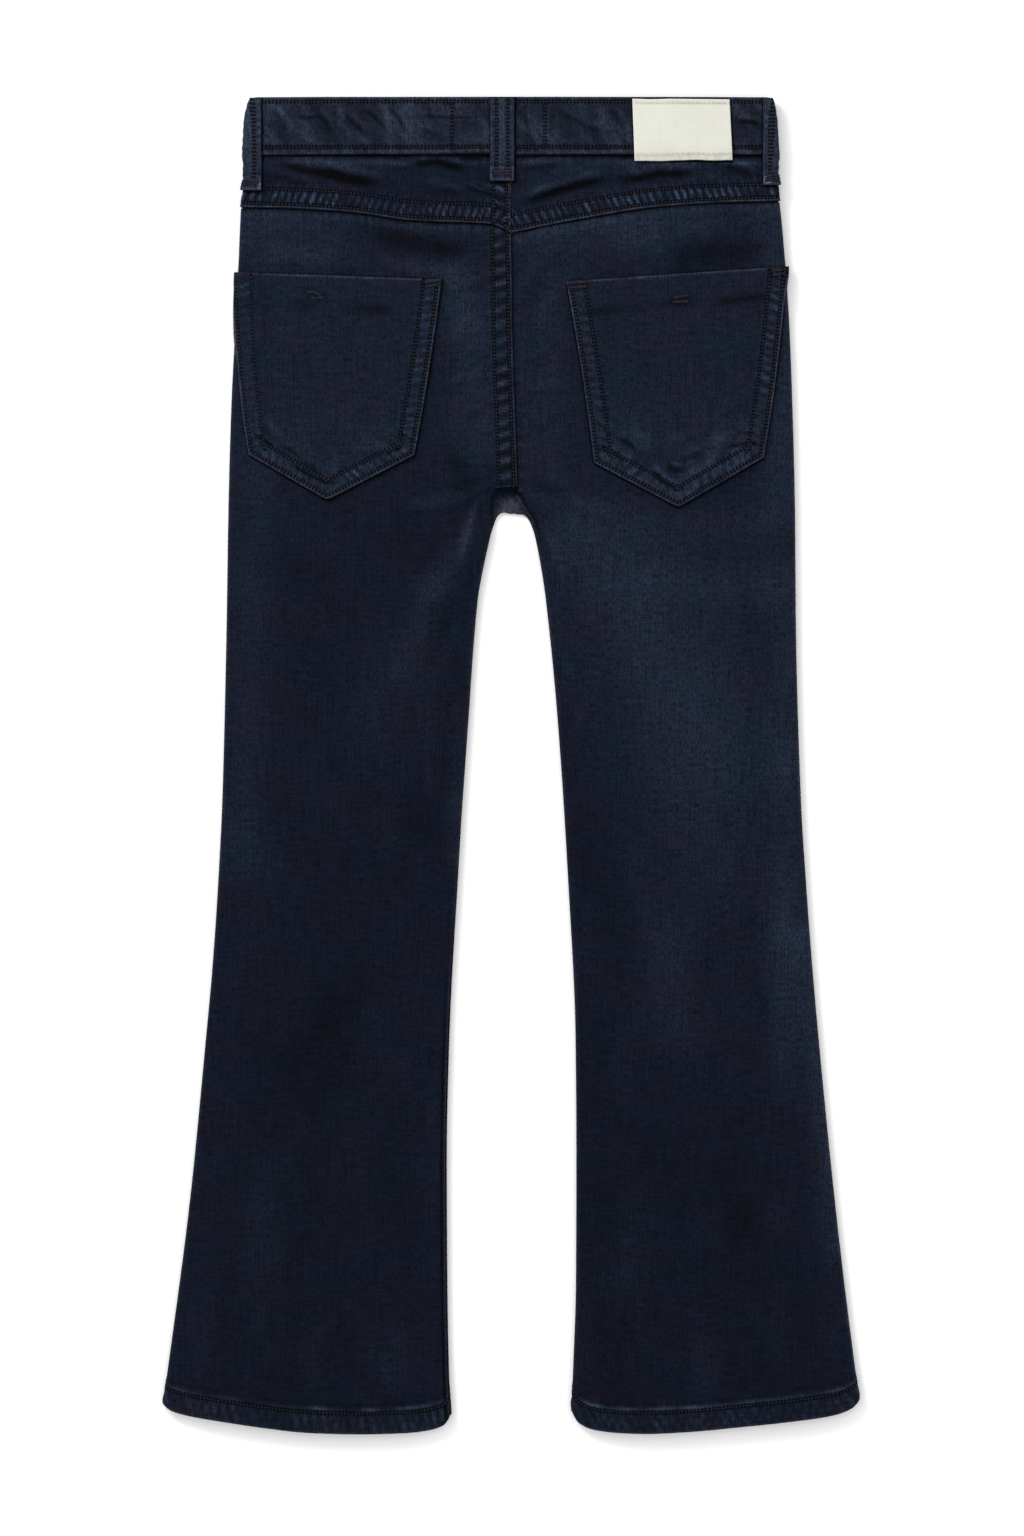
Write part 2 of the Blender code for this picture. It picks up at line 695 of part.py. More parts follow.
def yoke(leg):
    """Shaped piece between the waistband and a back panel, which it laps."""
    side, centre = side_seam(leg, BACK), centre_seam(leg, BACK)
    top = WAISTBAND_HEIGHT + SEAM_GAP / 2

    def columns(drop):
        return spread(side(drop[:, 0]), centre(drop[:, -1]), FOLD_STEPS, YOKE_LAP_STEPS, 10)

    low = by_x(leg["yoke_line"], columns(np.full((1, 1), WAISTBAND_HEIGHT))) - SEAM_GAP / 2
    ridge = low - LAP_WIDTH - LAP_SLOPE
    drop = np.concatenate([np.full_like(low, top), (top + ridge) / 2, ridge, low - LAP_WIDTH, low])
    x = columns(drop)
    places, normals = lie_with_normals(x, drop, BACK)
    raised = lap(low - drop)
    if leg is LEFT:
        raised = np.maximum(raised, lap(np.abs(x[:, -1:] - x)))
    wall("yoke_" + leg["word"], places, normals, raised, -CLOTH, DENIM)
    return Skin(x, drop, places + normals * raised[..., None])


def waistband():
    """One strip all round, from its outer end at the centre front to the end that lies behind that one."""
    drops = np.array([0.0, RIM, 4.0, 11.0, 20.0, WAISTBAND_HEIGHT - SEAM_GAP / 2])
    rim = np.where(drops < RIM / 2, RIM, 0.0)[:, None]
    past_edge = quarter_turn(drops) - fold_radius(drops)
    left = by_drop(OUTER_EDGES, "left", drops) - past_edge
    right = by_drop(OUTER_EDGES, "right", drops) + past_edge
    outer_end, inner_end = np.full_like(drops, BAND_END_X), np.full_like(drops, BAND_INNER_END_X)
    step_steps = (0, 10, BAND_END_X - BAND_INNER_END_X, BAND_END_X - BAND_INNER_END_X + BAND_STEP_SLOPE)
    strips = (
        (FRONT, spread(outer_end, left, (0, 13), BAND_FOLD_STEPS, 9)[:, :-1]),
        (BACK, spread(left, right, BAND_FOLD_STEPS, BAND_FOLD_STEPS, 19)),
        (FRONT, spread(right, inner_end, BAND_FOLD_STEPS, step_steps, 7)[:, 1:]),
    )
    places, normals, skins = [], [], []
    for side, x in strips:
        drop = np.broadcast_to(drops[:, None], x.shape)
        place, normal = lie_with_normals(x, drop, side)
        if x is strips[-1][1]:
            behind = smooth_step((BAND_END_X + BAND_STEP_SLOPE - x) / BAND_STEP_SLOPE)
            place = place - normal * ((BAND_WALL + SEAM_GAP) * behind)[..., None]
        places.append(place)
        normals.append(normal)
        skins.append(Skin(x, drop, place + normal * (BAND_PROUD - rim)[..., None]))
    places, normals = np.concatenate(places, axis=1), np.concatenate(normals, axis=1)
    wall("waistband", places, normals, BAND_PROUD - rim, BAND_PROUD - BAND_WALL + rim, WORN_DENIM)
    return skins


def bowed_side(start, middle, end, count):
    """Points on a smooth side through three given ones."""
    t = np.linspace(0, 1, count)[:, None]
    start, middle, end = (np.array(point) for point in (start, middle, end))
    control = 2 * middle - (start + end) / 2
    return (1 - t) ** 2 * start + 2 * t * (1 - t) * control + t * t * end


def back_pocket(leg, panel, rows=9):
    """Patch pocket with a pointed lower edge."""
    corners = leg["back_pocket"]
    outer, inner = (
        bowed_side(corners[side + "_top"], corners[side + "_side"], corners[side + "_low"], rows)
        for side in ("outer", "inner")
    )
    tip_share = (corners["tip"][0] - outer[-1, 0]) / (inner[-1, 0] - outer[-1, 0])
    near_fold = np.array(POCKET_FOLD_STEPS) / abs(inner[0, 0] - outer[0, 0])
    to_middle = np.linspace(near_fold[-1], tip_share, 6)[1:]
    share = np.concatenate([near_fold, to_middle, np.linspace(tip_share, 1, 7)[1:]])
    to_tip = np.minimum(share / tip_share, (1 - share) / (1 - tip_share))
    flat = outer[:, None] + (inner - outer)[:, None] * share[:, None]
    point = corners["tip"][1] - (outer[-1, 1] + (inner[-1, 1] - outer[-1, 1]) * tip_share)
    x = flat[..., 0]
    drop = flat[..., 1] + point * to_tip * np.linspace(0, 1, rows)[:, None] ** POCKET_POINT_BEND
    places, normals = lie_with_normals(x, drop, BACK)
    lift = laid_on([panel], x, drop, places, normals, SEAM_GAP)
    wall("back_pocket_" + leg["word"], places, normals, lift + THIN_CLOTH, lift, DENIM)


def loop_drops(loop):
    band_end = WAISTBAND_HEIGHT + SEAM_GAP + 1.2
    tack = loop["low"] - LOOP_TACK
    on_band = np.linspace(loop["top"], band_end, 5)
    return np.append(on_band, [band_end + LOOP_OFF_BAND, tack, tack + LOOP_TACK_STEP, loop["low"]])


def belt_loop(name, x, drops, skins, side):
    """Strip sewn at the top of the waistband, and folded under and tacked below it."""
    drop = np.broadcast_to(drops[:, None], x.shape)
    places, normals = lie_with_normals(x, drop, side)
    on_band = smooth_step((drops[5] - drop) / LOOP_OFF_BAND)
    folded = smooth_step((drop - drops[6]) / LOOP_TACK_STEP)
    lift = laid_on(skins, x, drop, places, normals, SEAM_GAP + BAND_PROUD * on_band)
    wall(name, places, normals, lift + THIN_CLOTH + LOOP_FOLDED_END * folded, lift, WORN_DENIM)


def flat_loop(name, loop, skins, side):
    drops = loop_drops(loop)
    x = loop["middle"] + LOOP_WIDTH * np.linspace(-0.5, 0.5, 5)
    belt_loop(name, np.broadcast_to(x, (len(drops), 5)), drops, skins, side)


def side_loop(name, loop, leg, skins):
    """Belt loop that goes round the side of the waist to the front."""
    drops = loop_drops(loop)
    edge = by_drop(OUTER_EDGES, leg["word"], drops)
    round_the_side = LOOP_WIDTH - abs(edge[4] - loop["back_edge"])
    x = edge[:, None] + leg["sign"] * np.linspace(round_the_side, -2.9, 8)
    x = np.concatenate([x, np.full((len(drops), 1), loop["back_edge"])], axis=1)
    belt_loop(name, x, drops, skins, BACK)


def waist_patch(skins, columns=9, rows=6):
    """Bare woven patch, sewn over the waistband on the wearer's right."""
    corners = {name: np.array(corner) for name, corner in PATCH.items()}
    across, down = np.linspace(0, 1, columns)[None, :, None], np.linspace(0, 1, rows)[:, None, None]
    top = corners["top_left"] * (1 - across) + corners["top_right"] * across
    low = corners["low_left"] * (1 - across) + corners["low_right"] * across
    x, drop = np.moveaxis(top * (1 - down) + low * down, 2, 0)
    places, normals = lie_with_normals(x, drop, BACK)
    lift = laid_on(skins, x, drop, places, normals, BAND_PROUD + SEAM_GAP)
    wall("waist_patch", places, normals, lift + PATCH_CLOTH, lift, WOVEN)


def behind_fly():
    """Lift of the zip's tape, just inside the thickest part of the fly."""
    return -CLOTH - FLY_LAP["thickening"] - SEAM_GAP


def fly_zip():
    """Closed zip behind the fly: tape with the chain standing on its inner face."""
    half_tape, half_chain = ZIP["tape_width"] / 2, CHAIN["width"] / 2
    half = np.array([half_chain, half_chain + CHAIN["slope"], half_tape])
    chain_top = ZIP["chain_top"]
    drops = np.concatenate([[ZIP["top"], chain_top - CHAIN["slope"]], np.linspace(chain_top, ZIP["low"], 6)])
    x, drop = np.meshgrid(np.concatenate([-half[::-1], half]), drops)
    places, normals = lie_with_normals(x, drop, FRONT)
    on_chain = (np.abs(x) <= half_chain) & (drop >= chain_top)
    inner = behind_fly() - ZIP["tape"] - np.where(on_chain, CHAIN["height"], 0)
    wall("fly_zip", places, normals, behind_fly(), inner, DENIM)


def zip_slider():
    """Slider at the top of the chain, with its pull turned up flat under the waistband."""
    shoulder = SLIDER["shoulder"]
    drops = np.array([SLIDER["top"], shoulder, shoulder + CHAIN["slope"] * 2, SLIDER["low"]])
    widths = np.array([SLIDER["pull_width"], SLIDER["pull_width"], SLIDER["width"], SLIDER["width"]])
    x = widths[:, None] * np.array([-0.5, -0.3, 0.3, 0.5])
    drop = np.broadcast_to(drops[:, None], x.shape)
    places, normals = lie_with_normals(x, drop, FRONT)
    outer = behind_fly() - ZIP["tape"] - SEAM_GAP
    wall("zip_slider", places, normals, outer, outer - SLIDER["height"], DARK_METAL)


def shank_button():
    """Button on the outer end of the waistband, underneath: a low domed cap on a short post."""
    sides = BUTTON["sides"]
    seat = lie(np.array([BUTTON["x"]]), np.array([BUTTON["drop"]]), FRONT)[0]
    top = seat[2] - BAND_PROUD - SEAM_GAP
    under_cap = top - BUTTON_POST["height"]
    profile = (
        (BUTTON_POST["radius"], top),
        (BUTTON_POST["radius"], under_cap),
        (BUTTON["radius"], under_cap),
        (BUTTON["radius"], BUTTON["edge"]),
        (BUTTON["radius"] - BUTTON["dome"], 0.0),
    )
    angles = 2 * math.pi * np.arange(sides) / sides
    circle = np.stack([np.cos(angles), np.sin(angles), np.zeros(sides)], axis=1)
    rings = [circle * radius + (seat[0], seat[1], height) for radius, height in profile]
    points = np.concatenate(rings)
    index = np.arange(len(points)).reshape(len(profile), sides)
    after = np.roll(index, -1, axis=1)
    faces = np.stack([index[:-1], index[1:], after[1:], after[:-1]], axis=-1).reshape(-1, 4).tolist()
    faces += [index[0].tolist(), index[-1, ::-1].tolist()]
    add_object("shank_button", points, faces, DARK_METAL)


LEFT = {
    "word": "left",
    "sign": -1,
    "yoke_line": YOKE_LINE_LEFT,
    "hem_line": HEM_LINE_LEFT,
    "back_pocket": BACK_POCKET_LEFT,
}
RIGHT = {
    "word": "right",
    "sign": 1,
    "yoke_line": YOKE_LINE_RIGHT,
    "hem_line": HEM_LINE_RIGHT,
    "back_pocket": BACK_POCKET_RIGHT,
}


def build():
    clear_scene()
    band_front_left, band_back, band_front_right = waistband()
    on_back = [band_back] + [yoke(leg) for leg in (LEFT, RIGHT)]
    for leg in (LEFT, RIGHT):
        back_pocket(leg, back_panel(leg))
    on_front_left = [band_front_left, front_panel(LEFT), front_pocket_facing(LEFT)]
    on_front_right = [band_front_right, front_panel(RIGHT), front_pocket_facing(RIGHT)]

    flat_loop("belt_loop_centre", CENTRE_LOOP, on_back, BACK)
    flat_loop("belt_loop_front_left", FRONT_LOOP_LEFT, on_front_left, FRONT)
    flat_loop("belt_loop_front_right", FRONT_LOOP_RIGHT, on_front_right, FRONT)
    round_left = [skin.from_the_back(LEFT) for skin in on_front_left]
    round_right = [skin.from_the_back(RIGHT) for skin in on_front_right]
    side_loop("belt_loop_side_left", SIDE_LOOP_LEFT, LEFT, on_back + round_left)
    side_loop("belt_loop_side_right", SIDE_LOOP_RIGHT, RIGHT, on_back + round_right)
    waist_patch(on_back)
    fly_zip()
    zip_slider()
    shank_button()


build()
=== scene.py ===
# Flared jeans for a child, laid flat with the back up. Lengths are in mm until a mesh is made.
# x runs from the wearer's left leg to the right one, and z is up. A drop is how far down a place is
# from the top of the waistband. The cloth is worked out flat, then laid over the folded edges.
import math

import bpy
import numpy as np
from mathutils.bvhtree import BVHTree
from mathutils.kdtree import KDTree
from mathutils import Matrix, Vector


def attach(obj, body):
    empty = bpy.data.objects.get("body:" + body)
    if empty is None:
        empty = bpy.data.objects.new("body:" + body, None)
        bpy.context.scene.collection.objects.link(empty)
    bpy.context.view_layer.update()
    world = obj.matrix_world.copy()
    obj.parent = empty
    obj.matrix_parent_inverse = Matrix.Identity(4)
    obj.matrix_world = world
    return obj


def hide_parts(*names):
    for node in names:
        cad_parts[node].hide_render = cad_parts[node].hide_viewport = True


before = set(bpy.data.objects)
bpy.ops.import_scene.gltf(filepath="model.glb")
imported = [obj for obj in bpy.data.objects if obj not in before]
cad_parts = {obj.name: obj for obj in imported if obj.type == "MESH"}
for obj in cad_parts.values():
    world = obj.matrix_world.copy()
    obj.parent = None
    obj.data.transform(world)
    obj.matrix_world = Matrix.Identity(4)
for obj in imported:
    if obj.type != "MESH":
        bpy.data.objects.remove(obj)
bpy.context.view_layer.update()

print("frame loaded:", len(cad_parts), "nodes")


def columns(names, *rows):
    return dict(zip(names.split(), np.array(rows, float).T))


creaseNames = "x0 drop0 x1 drop1 bow width height"
lightShadeNames = "x0 drop0 x1 drop1 width amount"


# ---- how the garment lies: the same outline and folded edges as its solids

back, front = 1, -1
garment = {
    "length": 700.0,
    "bandHeight": 30.5,
    "crotch": (0.8, 208.5),
    "centreReach": 38.0,
    "seamGap": 0.3,
    "cloth": 1.7,
    "edgeRadius": 0.75,
}

outerEdges = columns(
    "drop left right",
    (-12, -133.9, 133), (0, -134.8, 133.8), (4, -136.2, 134.8), (12, -138, 136), (29, -139.1, 137.3),
    (44, -140, 138.3), (58, -142.2, 140.2), (87, -143.6, 142.9), (117, -145.1, 144.9), (160, -147.3, 146.6),
    (211, -148.8, 147.9), (284, -150, 148.6), (368, -152.1, 151.1), (410, -154.2, 153.7), (452, -157, 156.8),
    (494, -160.8, 160.5), (577, -169, 168.8), (661, -180, 178.9), (700, -185.6, 184.6), (730, -190, 189),
)
innerEdgeLeft = columns(
    "x drop",
    (0.8, 208.5), (-3.4, 210.2), (-7.4, 215.5), (-10, 224), (-14.4, 242), (-18.2, 263), (-23.1, 326), (-28.5, 410),
    (-33, 494), (-34.3, 556), (-34, 619), (-33.1, 668), (-32, 692), (-31, 730),
)
innerEdgeRight = columns(
    "x drop",
    (0.8, 208.5), (4.6, 210.6), (8.2, 217), (10.6, 225), (14.2, 242), (17.4, 263), (23.6, 326), (29.1, 410),
    (33, 494), (33.4, 556), (33.2, 619), (31.6, 668), (30.6, 692), (30, 730),
)
hemLeft = columns(
    "x drop",
    (-184, 684), (-178, 688.2), (-169, 690.6), (-150, 693.8), (-128, 697), (-106, 699.3), (-80, 700), (-56, 699.4),
    (-44, 698), (-36.5, 695.6), (-32, 690),
)
hemRight = columns(
    "x drop",
    (30.6, 688), (34.5, 694), (42, 697.6), (54, 699.2), (70, 699.8), (92, 698.8), (118, 696.4), (148, 693.2),
    (168, 690.2), (177, 687), (183, 681.4),
)
yokeLeft = columns(
    "x drop",
    (-148, 57.6), (-120, 58.2), (-84, 60.4), (-52, 64.8), (-12, 66.6), (-1, 71),
)
yokeRight = columns(
    "x drop",
    (-1, 71.2), (33, 64.4), (74, 57.8), (112, 55.2), (148, 54.2),
)
centreSeams = columns(
    "drop back front",
    (0, -1.2, 0.6), (71, -0.9, 0.5), (96, -0.4, 0.45), (117, -0.3, 0.4), (127, 0, 0.45), (148, 0.6, 0.5),
    (160, 1.1, 0.5), (180, 1.8, 0.6), (200, 2.5, 0.8), (208.5, 2.7, 0.8), (240, 2.8, 0.8),
)
lieTable = columns(
    "drop foldTop rise reach frontLift centreLift",
    (-12, 7.3, 2.3, 55, 2.7, 0.8), (30.5, 7.3, 2.3, 55, 2.7, 0.8), (48, 7, 2.2, 52, 2.6, 0.7),
    (64, 6.3, 2.1, 50, 1.6, 0.4), (96, 5.2, 2.1, 48, 0, 0), (150, 5, 2.2, 46, 0, 0), (215, 4.8, 2.3, 40, 0, 0),
    (330, 4.7, 2.3, 34, 0, 0), (450, 4.6, 2.2, 34, 0, 0), (600, 4.6, 2.3, 38, 0, 0), (654, 4.7, 2.1, 40, 0, 0),
    (671, 5.1, 1.9, 42, 0.3, 0), (730, 5.1, 1.9, 42, 0.3, 0),
)
seamTurns = columns(  # of the seams on the folded edges, in degrees above the middle of the fold
    "drop side inseamLeft inseamRight",
    (0, -20, -20, -20), (208.5, -20, -20, -20), (300, -20, -20, -20), (470, -20, 40, -20), (730, -20, 48, -20),
)


def through(places, values, at):  # a smooth curve through the values that never swings past them
    at = np.asarray(at, float)
    rises = np.diff(values) / np.diff(places)
    sameWay = rises[:-1] * rises[1:] > 0
    both = np.where(sameWay, rises[:-1] + rises[1:], 1)
    bends = np.where(sameWay, 2 * rises[:-1] * rises[1:] / both, 0)
    slopes = np.concatenate([rises[:1], bends, rises[-1:]])
    i = np.clip(np.searchsorted(places, at) - 1, 0, len(places) - 2)
    span = places[i + 1] - places[i]
    t = np.clip((at - places[i]) / span, 0, 1)
    start = (1 + 2 * t) * (1 - t) ** 2 * values[i] + t * (1 - t) ** 2 * span * slopes[i]
    return start + t * t * (3 - 2 * t) * values[i + 1] - t * t * (1 - t) * span * slopes[i + 1]


def byDrop(table, name, drop):
    return through(table["drop"], table[name], drop)


def byX(line, x):
    return through(line["x"], line["drop"], x)


def smooth(t):
    t = np.clip(t, 0, 1)
    return t * t * (3 - 2 * t)


def unit(vectors):
    return vectors / np.maximum(np.linalg.norm(vectors, axis=-1), 1e-9)[..., None]


def pairs(x, drop):  # flat points, one a row
    return np.stack([np.ravel(x), np.ravel(drop)], axis=1).astype(float)


def runAlong(points):
    return np.concatenate([[0], np.cumsum(np.hypot(*np.diff(points, axis=0).T))])


def treeOf(points):
    tree = KDTree(len(points))
    for i, point in enumerate(points):
        tree.insert((*point, 0), i)
    tree.balance()
    return tree


def densePath(points, spacing):
    points = np.asarray(points, float)
    run = runAlong(points)
    at = np.linspace(0, run[-1], max(2, int(round(run[-1] / spacing)) + 1))
    return pairs(*(np.interp(at, run, line) for line in points.T))


pathStep = 0.5  # between the points of a path


def pathData(points):
    points = densePath(points, pathStep)
    along = unit(np.gradient(points, axis=0))
    return {"points": points, "along": along, "run": runAlong(points), "tree": treeOf(points)}


def nearestOn(path, flat):
    index = np.array([path["tree"].find((x, y, 0))[1] for x, y in flat], int)
    along, point = path["along"][index], path["points"][index]
    slide = np.clip(((flat - point) * along).sum(1), -pathStep, pathStep)
    foot = point + along * slide[:, None]
    return index, foot, slide


def makeInnerEdge():  # from the left hem up to the crotch and down to the right hem
    corners = pairs(*(np.concatenate([innerEdgeLeft[name][::-1], innerEdgeRight[name][1:]]) for name in ("x", "drop")))
    chords = runAlong(corners)
    at = np.arange(0, chords[-1], 0.75)
    edge = pathData(pairs(*(through(chords, line, at) for line in corners.T)))
    edge["inward"] = np.stack([edge["along"][:, 1], -edge["along"][:, 0]], axis=1)
    edge["crotch"] = int(edge["points"][:, 1].argmin())
    return edge


innerEdge = makeInnerEdge()


def nearestEdge(flat):
    index, foot, slide = nearestOn(innerEdge, flat)
    inward = innerEdge["inward"]
    turned = unit(inward[index] + np.gradient(inward, axis=0)[index] * (slide / pathStep)[:, None])
    depth = ((flat - foot) * turned).sum(1)
    for name, way in (("left", 1), ("right", -1)):
        edgeX = byDrop(outerEdges, name, flat[:, 1])
        sideDepth = (flat[:, 0] - edgeX) * way
        closer = (sideDepth < depth)[:, None]
        foot = np.where(closer, pairs(edgeX, flat[:, 1]), foot)
        turned = np.where(closer, (way, 0), turned)
        depth = np.minimum(depth, sideDepth)
    return depth, foot, turned


backFolds = columns(  # the broadest soft folds, each a straight line with rounded sides
    "x0 drop0 x1 drop1 width height",
    (-126, 34, -70, 44, 5.5, -0.9), (-132, 43, -84, 53, 6, 0.5), (-56, 35, -18, 38, 4.5, -0.8),
    (2, 57, 62, 41, 6, -0.9), (10, 49, 66, 36, 5, 0.4), (-74, 72, -16, 86, 9, -0.8), (46, 74, 4, 118, 11, -0.6),
    (-12, 228, -68, 316, 13, 0.7), (-28, 250, -30, 352, 9, -0.6), (22, 240, 120, 366, 26, 0.6),
    (34, 300, 40, 470, 11, -0.6), (-96, 260, -118, 470, 24, 0.5), (140, 420, 148, 620, 14, 0.5),
    (-60, 470, -70, 620, 22, -0.5), (92, 590, 124, 660, 12, -0.5),
)


def besideLine(x, drop, x0, drop0, x1, drop1):  # its length, the share of it passed, and how far below it a place is
    length = math.hypot(x1 - x0, drop1 - drop0)
    ux, ud = (x1 - x0) / length, (drop1 - drop0) / length
    return length, ((x - x0) * ux + (drop - drop0) * ud) / length, (drop - drop0) * ux - (x - x0) * ud


def softFolds(x, drop):
    height = np.zeros_like(x)
    for *line, width, rise in zip(*backFolds.values()):
        _, share, across = besideLine(x, drop, *line)
        fade = smooth(1 + share / 0.3) * smooth(1 + (1 - share) / 0.3)
        height += rise * np.exp(-((across / width) ** 2)) * fade
    return height


def foldRadius(drop):
    return (byDrop(lieTable, "foldTop", drop) - byDrop(lieTable, "frontLift", drop)) / 2


def lie(x, drop, side):
    flat = pairs(x, drop)
    depth, foot, inward = nearestEdge(flat)
    radius = foldRadius(flat[:, 1])
    quarter = radius * math.pi / 2
    past = np.clip(radius - depth, 0, None)
    turn = math.pi / 2 * (1 - np.clip(past, 0, 2 * quarter) / quarter)
    fromEdge = radius * (1 - np.cos(turn)) + np.clip(past - 2 * quarter, 0, None)
    planX, planDrop = np.where((depth < radius)[:, None], foot + inward * fromEdge[:, None], flat).T
    swell = 1 - np.exp(-((2 * np.clip(depth, 0, None) / byDrop(lieTable, "reach", planDrop)) ** 2))
    lift = byDrop(lieTable, "centreLift", planDrop) * np.exp(-((planX / garment["centreReach"]) ** 2)) * swell
    z = byDrop(lieTable, "frontLift", planDrop) + radius + side * radius * np.sin(turn) + lift
    if side == back:
        z += byDrop(lieTable, "rise", planDrop) * swell
        z += softFolds(planX, planDrop) * smooth(depth / 8)
    places = np.stack([planX, garment["length"] / 2 - planDrop, z], axis=1)
    return places.reshape(np.shape(x) + (3,)), depth.reshape(np.shape(x))


# ---- one piece of cloth: a flat grid, where it lies, and what is worked into it


def newCloth(x, drop, side):
    x, drop = np.broadcast_arrays(np.asarray(x, float), np.asarray(drop, float))
    place, depth = lie(x, drop, side)
    cloth = {"x": x, "drop": drop, "side": side, "depth": depth, "place": place, "threads": []}
    for name in ("sink", "height", "thin", "wear", "shade", "edge", "stitchRun"):
        cloth[name] = np.zeros(x.shape)
    for name in ("stitchAway", "clear"):
        cloth[name] = np.full(x.shape, 9.0)
    setOut(cloth)
    return cloth


def joinStrips(strips):
    joined = {"side": strips[0]["side"], "threads": [row for strip in strips for row in strip["threads"]]}
    for name, values in strips[0].items():
        if isinstance(values, np.ndarray):
            joined[name] = np.concatenate([strip[name] for strip in strips], axis=1)
    return joined


def setOut(cloth):
    down, across = np.gradient(cloth["place"], axis=(0, 1))
    way = cloth["side"] * np.sign(cloth["x"][0, 1] - cloth["x"][0, 0])
    cloth["out"] = unit(np.cross(down, across) * way)


def awayFrom(path, cloth, reach):  # distance of each point from a flat path, and how far along it
    flat = pairs(cloth["x"], cloth["drop"])
    low, high = path["points"].min(0) - reach, path["points"].max(0) + reach
    near = np.flatnonzero(((flat > low) & (flat < high)).all(1))
    away, run = np.full(len(flat), 99.0), np.zeros(len(flat))
    index, foot, slide = nearestOn(path, flat[near])
    away[near] = np.hypot(*(flat[near] - foot).T)
    run[near] = path["run"][index] + slide
    return away.reshape(cloth["x"].shape), run.reshape(cloth["x"].shape)


def noise(x, y, step, seed):
    size = 64
    values = np.random.default_rng(int(seed)).uniform(-1, 1, (size, size))
    gx, gy = np.asarray(x) / step + 0.37, np.asarray(y) / step + 0.61
    i, j = np.floor(gx).astype(int), np.floor(gy).astype(int)
    u, v = smooth(gx - i), smooth(gy - j)
    corner = [[values[(i + a) % size, (j + b) % size] for b in (0, 1)] for a in (0, 1)]
    low = corner[0][0] * (1 - v) + corner[0][1] * v
    high = corner[1][0] * (1 - v) + corner[1][1] * v
    return low * (1 - u) + high * u


def ripple(run, pitch, seed, vary=0.45):
    shift = noise(run, 3.1, 2.6 * pitch, seed)
    size = 1.1 - vary + vary * noise(run, 7.7, 1.7 * pitch, seed + 1)
    return np.cos(2 * math.pi * (run / pitch + (0.1 + vary) * shift)) * size


def bell(distance, width):
    return np.exp(-((distance / width) ** 2))


def roundEdge(away, radius):  # how much thinner the cloth is near its edge
    return radius - np.sqrt(np.maximum(radius**2 - np.clip(radius - away, 0, radius) ** 2, 0))


def roundBorders(cloth, radius):
    x, drop = cloth["x"], cloth["drop"]
    for axis in (0, 1):
        steps = np.hypot(np.diff(x, axis=axis), np.diff(drop, axis=axis))
        first = np.zeros_like(np.take(x, [0], axis=axis))
        run = np.concatenate([first, np.cumsum(steps, axis=axis)], axis=axis)
        for away in (run, np.take(run, [-1], axis=axis) - run):
            cloth["thin"] = np.maximum(cloth["thin"], roundEdge(away, radius))


def addRelief(cloth, relief, height, wear, shade=0.0):  # raised cloth is painted paler, as worn cloth and painted highlight, and hollows get painted shade
    cloth["height"] += height * relief
    cloth["wear"] += wear * np.clip(relief, 0, 1)
    cloth["shade"] += shade * np.clip(-relief, 0, 1)


def addCreases(cloth, creases, seed, tone):
    for *line, bow, width, height in zip(*creases.values()):
        length, share, across = besideLine(cloth["x"], cloth["drop"], *line)
        across = across - bow * 4 * share * (1 - share)
        across = across + 0.25 * width * noise(share * length, 0, 14.0, seed)
        ends = 1 - 2 * np.abs(share - 0.5)
        fade = smooth(ends + 0.35) * smooth(ends + 0.3)
        shape = bell(across, width) - 0.35 * bell(across + 2.1 * width, 1.2 * width)
        cloth["height"] += height * shape * fade * smooth(cloth["depth"] / 5)
        strength = tone * min(abs(height) / 0.8, 1) * fade
        # painted shade in a crease's hollow with paler flanks; on a ridge, a paler top as worn cloth and painted
        # highlight, and painted shade on its far side
        if height < 0:
            cloth["shade"] += 1.0 * strength * bell(across, width)
            cloth["wear"] += 0.22 * strength * bell(np.abs(across) - 1.7 * width, 0.7 * width)
        else:
            cloth["wear"] += 0.55 * strength * bell(across, 0.9 * width)
            cloth["shade"] += 0.45 * strength * bell(across - 1.7 * width, 0.9 * width)
        seed += 1


def drawnPath(points, count=90):  # a smooth line through a few points
    points = np.array(points, float)
    runs, fine = np.linspace(0, 1, len(points)), np.linspace(0, 1, count)
    return pairs(*(through(runs, line, fine) for line in points.T))


def addFolds(cloth, folds, seed, tone=1.0):  # each is points, a width and a height: a hollow with a ridge above it
    for points, width, height in folds:
        path = pathData(drawnPath(points))
        away, run = awayFrom(path, cloth, 5 * width)
        x, drop = (np.interp(run, path["run"], path["points"][:, i]) for i in (0, 1))
        ux, ud = (np.interp(run, path["run"], path["along"][:, i]) for i in (0, 1))
        below = (cloth["drop"] - drop) * ux - (cloth["x"] - x) * ud
        below = np.where(away < 99, below + 0.3 * width * noise(run, 0, 6.0, seed), 99)
        share = run / path["run"][-1]
        fade = smooth(share / 0.3) * smooth((1 - share) / 0.3) * bell(np.sqrt(np.maximum(away**2 - below**2, 0)), width)
        hollow, ridge = fade * bell(below, width), fade * bell(below + 1.9 * width, width)
        cloth["height"] += height * (0.5 * ridge - hollow)
        # painted shade in the hollow, and a paler ridge above it, worn and with painted highlight
        cloth["shade"] += tone * min(height, 1) * hollow
        cloth["wear"] += 0.20 * tone * min(height, 1) * ridge
        seed += 1


